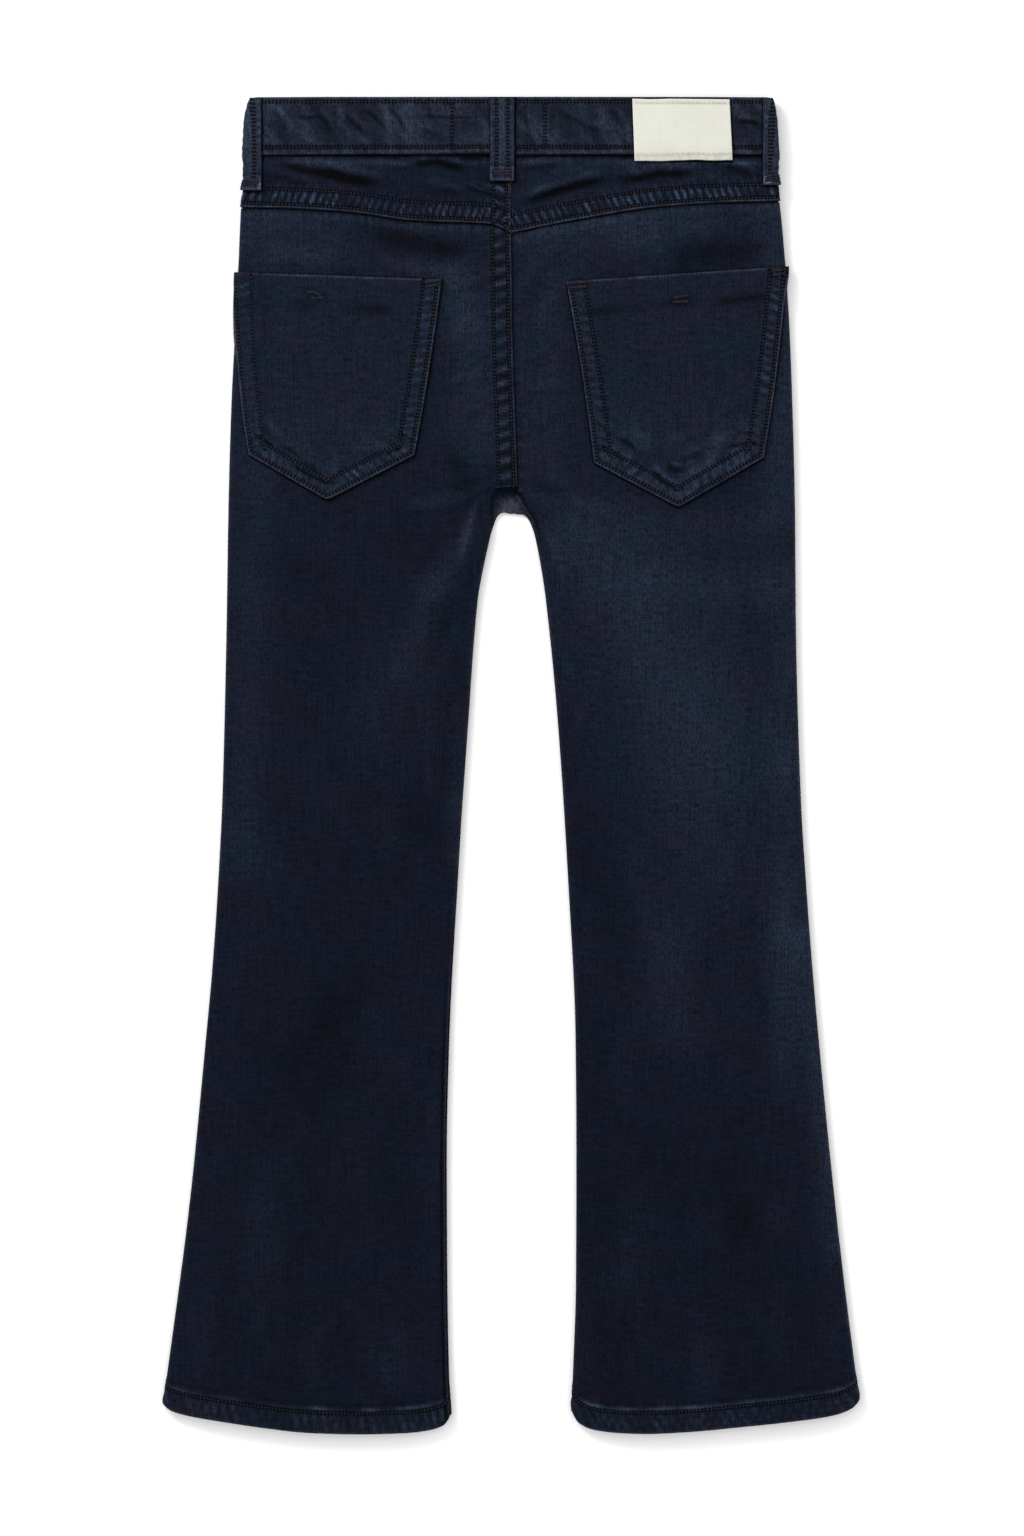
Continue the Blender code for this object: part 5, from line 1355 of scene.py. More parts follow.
backPocket = {
    "thickness": 1.3,
    "edgeRadius": 0.6,
    "rise": 0.3,  # over the panel under it
    "rows": (2, 9.2),
    "pitch": 4.7,
    "pointBend": 1.5,
    "spacing": 1.3,
    "steps": (0, 0.1, 0.35, 0.75, 1.3, 2, 2.7, 3.6, 4.6, 5.6, 6.6, 7.6, 8.4, 9.2, 10, 11, 12.2),
    "sideHeight": 96.0,
    "hemDrop": 16.5,
    "crumpled": {"left": 0.10, "right": 0.22},
    "bandWear": {"left": 0.06, "right": 0.05},
    "lowWear": {"left": 0.01, "right": 0.03},
    "faintFrom": -121,  # the left one's outer side is pulled smooth
    "folds": {
        "left": (
            (((-118, 190), (-112.8, 194.2), (-105, 198.4), (-98.2, 201.6), (-91.9, 200)), 1, 1.2),
            (((-137, 176), (-131, 178.5), (-124, 184)), 0.9, 0.9),
            (((-122, 182), (-116, 185), (-110, 190)), 1, 0.7), (((-68, 188), (-62, 185), (-54, 182)), 0.9, 0.9),
            (((-60, 176), (-54, 178.5), (-49, 182)), 0.9, 0.8), (((-104, 191), (-98, 194), (-92, 192)), 1.6, -0.5),
            (((-56, 166), (-51, 167.5), (-46, 170)), 1, 0.5),
        ),
        "right": (
            (((72, 193), (78.3, 201), (84, 204), (88, 204.4)), 1.1, 1.2),
            (((80, 192.5), (86, 195), (91, 194)), 1.1, 1), (((46, 184), (52, 186), (60, 191)), 0.9, 0.9),
            (((52, 178), (60, 181), (66, 186)), 1, 0.7), (((112, 184), (118, 182), (126, 181)), 1, 1),
            (((116, 174), (122, 176), (128, 175)), 0.9, 0.8), (((88, 190), (95, 188), (101, 184)), 1.6, 0.6),
            (((40, 168), (46, 171), (50, 176)), 1.1, 0.5),
        ),
    },
    "creases": {
        "left": columns(
            creaseNames,
            (-132, 172, -124, 178, 1, 2.2, -0.5), (-128, 166, -118, 180, 2, 2.6, 0.3),
            (-66, 182, -54, 176, -1, 2.4, -0.4), (-74, 178, -58, 186, 2, 2.4, 0.3),
            (-104, 188, -99, 198, 0, 2.4, -0.35), (-92, 184, -94, 200, 0, 2.4, 0.35),
            (-112, 190, -100, 199, -1, 1.6, -0.5), (-86, 192, -92, 200, 0, 1.8, -0.4),
        ),
        "right": columns(
            creaseNames,
            (54, 178, 66, 190, -2, 2.6, -0.4), (60, 172, 74, 186, -2, 3, 0.3), (108, 186, 120, 176, -1, 2.6, -0.45),
            (104, 176, 116, 184, 1, 2.4, 0.35), (80, 192, 88, 202, 0, 2.6, -0.6), (92, 184, 94, 200, 0, 2.4, 0.4),
            (36, 150, 46, 147, 0, 1.4, -0.5), (44, 166, 54, 168, 0, 1.4, -0.4), (112, 154, 124, 150, 0, 1.4, -0.35),
        ),
    },
}


def bowedSide(start, middle, end, share):  # an arc through three points, read at shares of its way
    runs = np.linspace(0, 1, 60)
    t = runs[:, None]
    start, middle, end = (np.array(point) for point in (start, middle, end))
    control = 2 * middle - (start + end) / 2
    arc = (1 - t) ** 2 * start + 2 * t * (1 - t) * control + t * t * end
    return [through(runs, line, share) for line in arc.T]


def makeBackPocket(leg):
    corner, steps = leg["pocket"], np.array(backPocket["steps"])
    fromLow = steps[::-1] / backPocket["sideHeight"]
    share = (0, 0.001, 0.004, 0.009, 0.016, 0.026)
    share = np.concatenate([share, np.linspace(0.04, 1 - fromLow[0], 66), 1 - fromLow[1:]])
    outer, outerDrop = bowedSide(corner["outerTop"], corner["outerSide"], corner["outerLow"], share)
    inner, innerDrop = bowedSide(corner["innerTop"], corner["innerSide"], corner["innerLow"], share)
    x = spread(outer, inner, steps, steps, backPocket["spacing"])
    across = (x - outer[:, None]) / (inner - outer)[:, None]
    tipShare = (corner["tip"][0] - outer[-1]) / (inner[-1] - outer[-1])
    toTip = np.minimum(across / tipShare, (1 - across) / (1 - tipShare))
    toTip = toTip - 0.02 * bell(toTip - 1, 0.03)
    point = corner["tip"][1] - (outerDrop[-1] + (innerDrop[-1] - outerDrop[-1]) * tipShare)
    drop = outerDrop[:, None] + (innerDrop - outerDrop)[:, None] * across
    drop = drop + point * toTip * share[:, None] ** backPocket["pointBend"]
    cloth = newCloth(x, drop, back)
    seed = 600 if leg is left else 700
    under = bridged(heightBelow([backSkins[leg["word"]]], cloth), 3)
    cloth["sink"] += under + backPocket["rise"] + backPocket["thickness"]
    addUnevenness(cloth, seed, 0.8)
    addCreases(cloth, backPocket["creases"][leg["word"]], seed + 10, tone=0.55)
    addFolds(cloth, backPocket["folds"][leg["word"]], seed + 30)
    rim = np.concatenate([pairs(x[:-1, 0], drop[:-1, 0]), pairs(x[-1, :-1], drop[-1, :-1]),
                          pairs(x[::-1, -1], drop[::-1, -1])])
    away = addLap(cloth, rim, backPocket["pitch"], seed + 40, pucker=0.34, slant=0.3, rise=0.35,
                  rows=backPocket["rows"], vary=0.4, glow=0.48, reach=0.6)
    cloth["wear"] += backPocket["bandWear"][leg["word"]] * smooth((10 - away) / 1.5)
    cloth["wear"] += 0.06 + backPocket["lowWear"][leg["word"]] * smooth((drop - 140) / 40)
    # crinkles at the low corners: paler tops with painted highlight, painted shade in the hollows
    lowCorners = (corner[word] for word in ("outerLow", "innerLow", "tip"))
    corners = sum(bell(np.hypot(x - cornerX, drop - cornerDrop), 12) for cornerX, cornerDrop in lowCorners)
    addRelief(cloth, noise(x, drop, 3.6, seed + 70) * corners * smooth(away / 1.5), 0.40, 0.26, 0.35)
    # creases in the lower part, painted paler on top and with painted shade in the hollows
    creased = noise(x + 0.6 * leg["sign"] * drop, drop, 5.5, seed + 72) * smooth((drop - 160) / 30) * smooth(away / 3)
    crumpled = backPocket["crumpled"][leg["word"]]
    addRelief(cloth, creased, 0.25, crumpled, 0.8 * crumpled)
    for distance in backPocket["rows"]:
        path = offsetPath(rim, -leg["sign"] * distance)
        inside = path[:, 1] > np.interp(path[:, 0], *zip(*sorted((corner["outerTop"], corner["innerTop"])))) + 0.8
        sewRow(cloth, path[inside], dark=0.4)
    faint = smooth((backPocket["faintFrom"] - x) / 9) * smooth((182 - drop) / 10)
    cloth["stitchAway"] = cloth["stitchAway"] + 0.4 * faint
    cloth["shade"] *= 1 - 0.5 * faint
    cloth["wear"] *= 1 - 0.3 * faint
    topAway = drop - drop[0]
    cloth["height"] += 0.25 * smooth((7.5 - topAway) / 1.5)
    # the top edge, chafed pale with painted sheen
    cloth["edge"] += 0.80 * bell(topAway - 0.6, 0.42) * (0.8 + 0.5 * noise(x, 0, 6.0, seed + 80))
    # painted shade along the inner edge of the turned top hem
    folded = topAway - backPocket["hemDrop"] + 1.8 * noise(x, 0, 22.0, seed + 81)
    cloth["shade"] += 0.50 * bell(folded, 2.8) * np.clip(0.7 + 0.9 * noise(x, 0.4 * drop, 13.0, seed + 82), 0, 1.5)
    roundBorders(cloth, backPocket["edgeRadius"])
    for row in (drawnPath(tack, 24) for tack in leg["tacks"]):
        addThread(cloth, row, "tackThread")
        away, _ = awayFrom(pathData(row), cloth, 4)
        # painted shade around the bar tack
        cloth["shade"] += 0.5 * bell(away, 1.6)
    finishCloth("back_pocket_" + leg["word"], cloth, backPocket["thickness"], "denim",
                ["back_" + leg["word"]])


for leg in (left, right):
    makeBackPocket(leg)

# ---- belt loops: strips sewn at the top of the waistband, folded under and tacked below it


def loopRows(loop):
    top, low = loop["top"], loop["low"]
    return np.concatenate([top + np.array((0, 0.1, 0.35, 0.7)), np.linspace(top + 1.3, low - 1.4, 52),
                           low - np.array((0.9, 0.5, 0.15, 0))])


def carried(under):  # how a strip lies over steps: lifted by the highest place near it, and evenly across
    widest = under.copy()
    for shift in (1, 2, 3):
        widest[shift:] = np.maximum(widest[shift:], under[:-shift])
        widest[:-shift] = np.maximum(widest[:-shift], under[shift:])
    widest = widest.max(axis=1, keepdims=True) * 0.7 + widest * 0.3
    padded = np.pad(widest, ((2, 2), (0, 0)), mode="edge")
    return np.maximum(sum(padded[i : i + len(widest)] for i in range(5)) / 5, widest - 0.1)


def makeLoop(name, x, drops, skins, side, rests, shiftedSkins=(), insets=beltLoop["rowInsets"]):
    cloth = newCloth(x, drops[:, None], side)
    drop, under = cloth["drop"], heightBelow(skins, cloth)
    for skin, moved in shiftedSkins:
        lift, there = readSkin(skin, pairs(moved(x), drop), "lift")
        under = np.maximum(under, np.where(there, lift[:, 0], -1).reshape(x.shape))
    cloth["sink"] += carried(under) + beltLoop["rise"] + beltLoop["thickness"]
    run = np.concatenate([np.zeros((len(x), 1)), np.cumsum(np.abs(np.diff(x, axis=1)), axis=1)], axis=1)
    width = run[:, -1:]
    seed = 800 + sum(ord(letter) for letter in name) % 90
    nearEdge, fromLow = np.minimum(run, width - run), drops[-1] - drop
    # puckers near the loop's edges: pale tops with painted highlight, painted shade in the hollows
    addRelief(cloth, ripple(drop + 0.5 * run, 4.2, seed) * smooth((3.2 - nearEdge) / 1.4) * smooth(nearEdge / 0.8),
              0.15, 0.34, 0.25)
    cloth["height"] += 0.07 * noise(run, drop, 5.0, seed + 2) + 0.18 * bell(run - width / 2, 2.2)
    # paler overall, and painted paler along the raised middle as a highlight
    cloth["wear"] += 0.12 + 0.2 * bell(run - width / 2, 2.0)
    # the loop's edges, chafed pale with painted sheen, more near the folded end
    rubbed = (0.3 + 0.5 * smooth(8 - fromLow)) * (0.8 + 0.6 * noise(drop, run, 5, seed + 3))
    cloth["edge"] += rubbed * bell(nearEdge - 0.6, 0.45)
    overFold = smooth(run / 4) if shiftedSkins else 1.0
    cloth["height"] += beltLoop["foldedEnd"] * smooth((6.2 - fromLow) / 1.2) * overFold
    if shiftedSkins:  # drawn in at the fold
        cloth["sink"] -= 0.75 * smooth((9 - fromLow) / 4) * smooth(1 - run / 5)
    inBox = smooth((nearEdge - 1.0) / 0.6)  # where the folded end is tacked
    # pale outlines of the folded end with painted highlight, painted shade inside the tacked box, and a painted shade
    # line above the fold
    cloth["edge"] += 0.8 * bell(fromLow - 0.7, 0.5) + 0.5 * inBox * bell(fromLow - 7.0, 0.6)
    cloth["shade"] += inBox * (0.9 * bell(fromLow - 4.3, 1.6) + 0.35 * bell(fromLow - 2.0, 0.6))
    cloth["shade"] += 0.6 * bell(fromLow - 8.4, 0.7)
    for inset in insets:
        line = [np.interp(width[i, 0] - inset, run[i], x[i]) for i in range(len(x))]
        sewRow(cloth, pairs(line, drops)[4:-7], deep=0.8, dark=0.15)
    for tack in beltLoop["tackRows"]:
        inside = (run[-8] > 1.0) & (run[-8] < width[-8] - 1.0)
        addThread(cloth, pairs(x[-8][inside], np.full(inside.sum(), drops[-1] - tack)), "tackThread")
        cloth["height"] -= 0.2 * bell(fromLow - tack, 0.7)
    for tail in beltLoop["tails"].get(name, ()):
        addThread(cloth, drawnPath(tail, 24), "looseThread")
    roundBorders(cloth, beltLoop["edgeRadius"])
    size = (beltLoop["width"] * 0.001, np.ptp(drops) * 0.001)
    finishCloth(name, cloth, beltLoop["thickness"], "denim_trim", rests, size=size, area=size[0] * size[1])


def flatLoop(name, loop, skins, side, rests):
    drops, half = loopRows(loop), np.array((0.08, 0.16, 0.23, 0.27, 0.31, 0.38, 0.44, 0.47, 0.492, 0.5))
    x = loop["middle"] + beltLoop["width"] * np.concatenate([-half[::-1], [0], half])
    makeLoop(name, np.tile(x, (len(drops), 1)), drops, skins, side, rests)


def sideLoop(name, loop, leg, skins, frontSkins, rests):
    drops = loopRows(loop)
    edge = byDrop(outerEdges, leg["word"], drops)
    end = edge + leg["sign"] * beltLoop["aroundFold"]
    x = spread(end, np.full_like(end, loop["backEdge"]), rimSteps, rimSteps, beltLoop["spacing"])
    mirror = (2 * edge + leg["sign"] * 2 * foldRadius(drops) * (math.pi / 2 - 1))[:, None]  # about the fold's middle
    shifted = [(skin, lambda x: mirror - x) for skin in frontSkins]
    makeLoop(name, x, drops, skins, back, rests, shifted, beltLoop["sideInsets"])


onBack = [bandSkins[1], yokeSkins["left"], yokeSkins["right"]]
flatLoop("belt_loop_centre", beltLoop["centre"], onBack, back, ["waistband"])

# ---- woven patch, bare, sewn over the waistband


def makePatch():
    topLeft, topRight, lowRight, lowLeft = (np.array(corner) for corner in patch["corners"])
    edge = np.array((0, 0.004, 0.012, 0.025, 0.045))
    across = np.concatenate([edge * 0.6, np.linspace(0.05, 0.95, 40), 1 - edge[::-1] * 0.6])[None, :, None]
    down = np.concatenate([edge, np.linspace(0.07, 0.93, 27), 1 - edge[::-1]])[:, None, None]
    top, low = topLeft * (1 - across) + topRight * across, lowLeft * (1 - across) + lowRight * across
    x, drop = np.moveaxis(top * (1 - down) + low * down, 2, 0)
    down = down[..., 0]  # the edges wander
    drop = drop + 0.45 * noise(x, 0, 9.0, 901) * smooth((down - 0.7) / 0.3)
    drop = drop + 0.2 * noise(x, 0, 11.0, 902) * smooth((0.3 - down) / 0.3)
    cloth = newCloth(x, drop, back)
    under = np.maximum(bridged(heightBelow(onBack, cloth), 12), waistband["proud"])
    cloth["sink"] += under + patch["rise"] + patch["thickness"]
    cloth["height"] += 0.10 * noise(x, drop, 9.0, 903) + 0.05 * noise(x, drop, 3.5, 904)
    lowAway, topAway = drop[-1] - drop, drop - drop[0]
    addRelief(cloth, ripple(x, 4.6, 905) * smooth((3.4 - lowAway) / 2), 0.16, 0, 0.25)
    cloth["shade"] += 0.2 * smooth((3.6 - lowAway) / 2) + 0.14 * smooth((11 - lowAway) / 9)
    cloth["shade"] += 0.05 + 0.10 * np.clip(noise(x, drop, 12.0, 908), 0, 1)
    # painted shade in the needle holes between the stitches, and along each row's groove
    dots = 0.5 + 0.5 * np.cos(x * 2 * math.pi / threadKinds["paleThread"][0])
    dots = 0.9 * dots * np.clip(0.6 + noise(x, 0, 8.0, 907), 0, 1.3)
    for distance, away, end, way in zip(patch["rowDrops"], (topAway, lowAway), (0, -1), (1, -1)):
        cloth["height"] -= 0.15 * bell(away - distance, 0.7)
        cloth["shade"] += 0.22 * bell(away - distance, 0.8) + dots * bell(away - distance, 0.5)
        addThread(cloth, pairs(x[end], drop[end] + way * distance)[3:-3], "paleThread")
    roundBorders(cloth, patch["edgeRadius"])
    for tail in patch["tails"]:
        addThread(cloth, drawnPath(tail, 24), "paleThread")
    finishCloth("waist_patch", cloth, patch["thickness"], "woven_patch", ["waistband"])


makePatch()
print("back done")

# ---- fronts, underneath: cut away at the pocket openings, with the left one lapped over the right

frontPanel = {
    "fullDrop": 112.0,
    "crotchSag": 10.0,  # it shows a little below the back one
    "crotchWidth": 8.5,
    "openingTopX": 68.0,
    "openingLowDrop": 96.0,
    "openingBend": 2.4,
    "openingGap": 0.5,
    "openingRows": (1.7, 7.8),
    "openingSteps": (0, 0.1, 0.4, 0.9, 1.5, 2.1, 3, 4.2, 5.6, 7, 7.8, 8.6, 9.6),
    "facingInset": 0.8,
    "facingSlope": 6.0,
    "facing": 1.3,
    "facingRadius": 0.5,
    "flyNear": 7.0,
    "flyFar": 9.0,
    "flyRecess": 0.7,
    "flyThickening": 0.4,
    "flyEnd": 20.0,
    "flyStitch": ((-29, 32), (-29, 60), (-28.6, 90), (-27, 104), (-23, 114), (-16, 121), (-8, 124.5), (-0.5, 126)),
    "creases": {
        "left": columns(
            creaseNames,
            (-10, 160, -56, 176, -6, 7, -0.5), (-12, 196, -84, 178, 6, 8, -0.45), (-120, 120, -70, 150, 5, 9, -0.4),
            (-30, 240, -80, 330, -6, 11, -0.5), (-120, 260, -96, 370, 6, 12, -0.4),
            (-60, 400, -110, 430, 8, 10, -0.45), (-70, 450, -76, 560, 5, 12, -0.45),
            (-130, 520, -146, 640, 4, 10, -0.4), (-60, 600, -56, 680, 3, 9, -0.35),
        ),
        "right": columns(
            creaseNames,
            (14, 172, 52, 190, 4, 6, -0.4), (20, 214, 98, 176, -9, 9, -0.5), (112, 138, 88, 178, -4, 8, -0.35),
            (22, 262, 64, 322, 5, 9, -0.4), (120, 226, 90, 312, -7, 11, -0.45), (66, 372, 96, 414, -5, 9, -0.35),
            (104, 440, 84, 534, -6, 13, -0.45), (64, 520, 58, 610, 4, 9, -0.35), (126, 580, 138, 664, 3, 11, -0.4),
        ),
    },
}


openingReach = frontPanel["openingLowDrop"] - garment["bandHeight"]


def openingShare(drop):
    return np.clip((drop - garment["bandHeight"]) / openingReach, 0, 1)


def pocketOpening(leg):
    side = sideSeam(leg, front)
    top = leg["sign"] * frontPanel["openingTopX"]
    return lambda drop: top + (side(drop) - top) * (1 - np.sqrt(1 - openingShare(drop) ** frontPanel["openingBend"]))


def openingRows():
    share = np.concatenate([np.linspace(0, 0.9, 28), 0.9 + 0.1 * np.array((0.3, 0.5, 0.68, 0.8, 0.9, 0.96, 0.99))])
    share = np.concatenate([share[:1], (0.002, 0.006, 0.012), share[1:]])
    rows = garment["bandHeight"] + openingReach * share
    return rows + np.where(rows == rows[0], garment["seamGap"] / 2, 0)


def makeFront(leg):
    inner, crotchDrop = innerSeams(leg, front)
    below = np.linspace(frontPanel["openingLowDrop"], frontPanel["fullDrop"], 7)[:-1]
    legs = legRows(frontPanel["fullDrop"], crotchDrop, *panel["frontRowSteps"])
    rows = np.concatenate([openingRows(), below, legs])
    x, drop = panelGrid(
        rows, pocketOpening(leg), inner, frontPanel["openingSteps"], sewing["edgeSteps"], panel["frontSpacing"],
        lambda x: np.full_like(x, rows[0]), lambda x: byX(leg["hemLine"], x),
    )
    cloth = newCloth(x, drop, front)
    planX, planDrop = cloth["place"][..., 0], garment["length"] / 2 - cloth["place"][..., 1]
    sags = bell(planX - garment["crotch"][0], frontPanel["crotchWidth"]) * smooth((planDrop - 188) / 18)
    cloth["place"][..., 1] -= frontPanel["crotchSag"] * sags
    cloth["place"][..., 0] -= leg["sign"] * garment["seamGap"] * smooth(2 * sags)  # the seam closes where it shows
    shown = planDrop + frontPanel["crotchSag"] * sags
    # painted shade on the inner face where it shows in the crotch gap
    cloth["insideShade"] = np.clip(sags, 0, 1) * (0.85 - 0.85 * bell(planX + 0.5, 6.0) * smooth((shown - 204) / 10))
    cloth["insideEdge"] = 1.8 * bell(planX + 0.5, 6.0) * smooth((shown - 206) / 12)  # the inner face is paler, graded paler downwards where its painted shade lifts
    seed = 1000 if leg is left else 1100
    cloth["height"] -= 0.10
    addUnevenness(cloth, seed)
    addCreases(cloth, frontPanel["creases"][leg["word"]], seed + 10, tone=0.4)
    drops = np.linspace(garment["bandHeight"] - 4, frontPanel["openingLowDrop"] - 1.5, 120)
    mouth = pairs(pocketOpening(leg)(drops), drops)
    away, run = awayFrom(pathData(mouth), cloth, 16)
    between = smooth((away - 1.0) / 1.5) * smooth((8.0 - away) / 1.5)
    # puckers beside the opening: pale tops, worn and with painted highlight, painted shade in the hollows, and a pale
    # edge
    addRelief(cloth, ripple(run, 6.0, seed + 40) * between, 0.18, 0.4, 0.3)
    cloth["wear"] += 0.4 * bell(away - 0.7, 0.5)
    for distance in frontPanel["openingRows"]:
        sewRow(cloth, offsetPath(mouth, -leg["sign"] * distance)[2:])
    aboveEnd = smooth((crotchDrop - drop) / frontPanel["flyEnd"] - 1)
    thicker = 0.0
    if leg is left:
        drops = np.linspace(garment["bandHeight"], crotchDrop, 240)
        seam = pairs(centreSeam(leg, front)(drops), drops)
        for distance, start in zip(sewing["rows"], (30, 120)):
            sewRow(cloth, (seam - (distance, 0))[(drops > start) & (drops < crotchDrop - 9)])
        stitch = np.array(frontPanel["flyStitch"], float)
        share = np.linspace(0, 1, len(stitch))
        for inset in (0, 5.2):
            sewRow(cloth, drawnPath(stitch + inset * pairs(1 - 0.7 * share, -share)))
        away, run = awayFrom(pathData(seam), cloth, 14)
        between = smooth((away - 1.0) / 1.5) * smooth((9 - away) / 2)
        # puckers beside the fly seam, painted pale on top and with painted shade in the hollows
        addRelief(cloth, ripple(run, 7.0, seed + 60) * between, 0.16, 0.35, 0.25)
        cloth["wear"] += 0.4 * bell(away - 0.7, 0.5) * (x < 1)
    else:
        beside = smooth((frontPanel["flyFar"] - np.abs(x[:, -1:] - x)) / (frontPanel["flyFar"] - frontPanel["flyNear"]))
        cloth["sink"] -= frontPanel["flyRecess"] * beside * aboveEnd
        thicker = frontPanel["flyThickening"] * beside * aboveEnd
        # painted shade beside the fly's edge
        cloth["shade"] += 0.3 * bell(x - x[:, -1:], 2.0) * aboveEnd
    hemInside = hemWork(cloth, leg, seed + 80, 0.3)
    cloth["height"] -= 0.06
    roundBorders(cloth, garment["edgeRadius"])
    wall = garment["cloth"] + hemInside + thicker
    return finishCloth("front_" + leg["word"], cloth, wall, "denim", [])[0]


def makeFacing(leg):
    drops = openingRows()
    side = sideSeam(leg, front)(drops)
    opening = pocketOpening(leg)(drops) + leg["sign"] * frontPanel["openingGap"]
    share = np.concatenate([(0, 0.006, 0.02, 0.045), np.linspace(0.09, 0.96, 22), (0.985, 1.0)])
    x = side[:, None] + (opening - side)[:, None] * share
    cloth = newCloth(x, drops[:, None], front)
    cloth["sink"] -= frontPanel["facingInset"] * smooth(np.abs(side[:, None] - x) / frontPanel["facingSlope"])
    seed = 1200 if leg is left else 1250
    cloth["height"] += -0.08 + 0.06 * noise(x, cloth["drop"], 9.0, seed)
    # painted shade near the opening, under the front's edge
    cloth["shade"] += 0.3 * bell(np.abs(x - opening[:, None]), 3.0)
    roundBorders(cloth, frontPanel["facingRadius"])
    return finishCloth("front_pocket_" + leg["word"], cloth, frontPanel["facing"], "denim",
                       ["front_" + leg["word"]])[0]


frontSkins = {leg["word"]: (makeFront(leg), makeFacing(leg)) for leg in (left, right)}
for leg, strip, key in ((left, 0, "Left"), (right, 2, "Right")):
    under = [bandSkins[strip], *frontSkins[leg["word"]]]
    flatLoop("belt_loop_front_" + leg["word"], beltLoop["front" + key], under, front, ["waistband"])
    sideLoop("belt_loop_side_" + leg["word"], beltLoop["side" + key], leg, onBack, under, ["waistband"])
print("front done")

# ---- zip behind the fly, with its slider, and the button under the waistband

flyZip = {
    "top": 33.0, "chainTop": 51.0, "low": 124.0, "tapeWidth": 22.0, "tape": 0.6, "edgeRadius": 0.2,
    "toothPitch": 1.25, "toothWidth": 2.6, "toothLength": 0.75, "toothHeight": 0.62,
}
slider = {"width": 6.0, "pullWidth": 3.3, "height": 1.2, "top": 34.5, "shoulder": 42.5, "low": 50.0}
button = {"x": 6.0, "drop": 15.5, "radius": 7.5, "postRadius": 3.0, "postHeight": 0.6, "sides": 48}


def behindFly():
    return -garment["cloth"] - frontPanel["flyThickening"] - garment["seamGap"]


def newGeometryTree(name, *inputs):
    return newTree(name, "GeometryNodeTree", (("Geometry", "Geometry"), *inputs), (("Geometry", "Geometry"),))


def finishTree(tree, result, points, instance, material, **how):  # copies on the points, made real and given a material
    copies = addNode(tree, "GeometryNodeInstanceOnPoints", {"Points": points, "Instance": instance, **how})
    real = addNode(tree, "GeometryNodeRealizeInstances", {0: copies})
    finished = addNode(tree, "GeometryNodeSetMaterial", {"Geometry": real, "Material": material})
    tree.links.new(finished, result[0])
    return tree


def makeSewingTree():  # arched threads along every path, between their needle holes
    tree, given, result = newGeometryTree(
        "sewing", ("Length", "Float", 0.0015), ("Radius", "Float", 0.0002), ("Arch", "Float", 0.0003),
        ("Turn", "Float", 0.0), ("Wander", "Float", 0.12), ("Thread", "Material"),
    )
    times = lambda value, factor: mathNode(tree, "MULTIPLY", value, factor)
    point = lambda x, z: addNode(tree, "ShaderNodeCombineXYZ", {0: x, 2: z})
    randomly = lambda low, high, seed: addNode(
        tree, "FunctionNodeRandomValue", {2: low, 3: high, "Seed": seed}, 1, data_type="FLOAT")
    half, quarter, arch = times(given["Length"], 0.5), times(given["Length"], 0.28), given["Arch"]
    arc = addNode(tree, "GeometryNodeCurvePrimitiveBezierSegment", {
        "Resolution": 4, "Start": point(times(half, -1.0), times(arch, -1.0)),
        "Start Handle": point(times(quarter, -1.0), arch), "End Handle": point(quarter, arch),
        "End": point(half, times(arch, -1.0)),
    }, mode="POSITION")
    section = {"Resolution": 5, "Radius": given["Radius"]}
    ring = addNode(tree, "GeometryNodeCurvePrimitiveCircle", section, mode="RADIUS")
    thread = addNode(tree, "GeometryNodeCurveToMesh", {"Curve": arc, "Profile Curve": ring, "Fill Caps": True})
    curve = addNode(tree, "GeometryNodeMeshToCurve", {"Mesh": given["Geometry"]})
    out = addNode(tree, "GeometryNodeInputNamedAttribute", {"Name": "out"}, data_type="FLOAT_VECTOR")
    tangent = addNode(tree, "GeometryNodeInputTangent")
    facing = addNode(tree, "FunctionNodeAxesToRotation", {0: out, 1: tangent}, primary_axis="Z", secondary_axis="X")
    angle = mathNode(tree, "ADD", randomly(times(given["Wander"], -1.0), given["Wander"], 7), given["Turn"])
    spin = addNode(tree, "FunctionNodeAxisAngleToRotation", {0: (0, 0, 1), 1: angle})
    turned = addNode(tree, "FunctionNodeRotateRotation", {0: facing, 1: spin}, rotation_space="LOCAL")
    size = randomly(0.9, 1.08, 8)
    return finishTree(tree, result, curve, thread, given["Thread"], Rotation=turned, Scale=size)


def pathMesh(name, rows):
    points, outs = (np.concatenate(parts) for parts in zip(*rows))
    ends = np.cumsum([len(row) for row, _ in rows])
    starts = np.delete(np.arange(len(points) - 1), ends[:-1] - 1)
    mesh = bpy.data.meshes.new(name)
    mesh.from_pydata((points * 0.001).tolist(), pairs(starts, starts + 1).astype(int).tolist(), [])
    mesh.attributes.new("out", "FLOAT_VECTOR", "POINT").data.foreach_set("vector", outs.ravel().astype(np.float32))
    return linked(name, mesh)


def runTree(paths, tree, name, **inputs):
    modifier = paths.modifiers.new("made", "NODES")
    modifier.node_group = tree
    sockets = {item.name: item.identifier for item in tree.interface.items_tree if item.in_out == "INPUT"}
    for word, value in inputs.items():
        modifier[sockets[word]] = value
    evaluated = paths.evaluated_get(bpy.context.evaluated_depsgraph_get())
    mesh = bpy.data.meshes.new_from_object(evaluated)
    bpy.data.objects.remove(paths, do_unlink=True)
    mesh.name = name
    mesh.shade_smooth()
    piece = linked(name, mesh)
    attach(piece, "root")
    print(name, "triangles", sum(len(face.vertices) - 2 for face in mesh.polygons))
    return piece


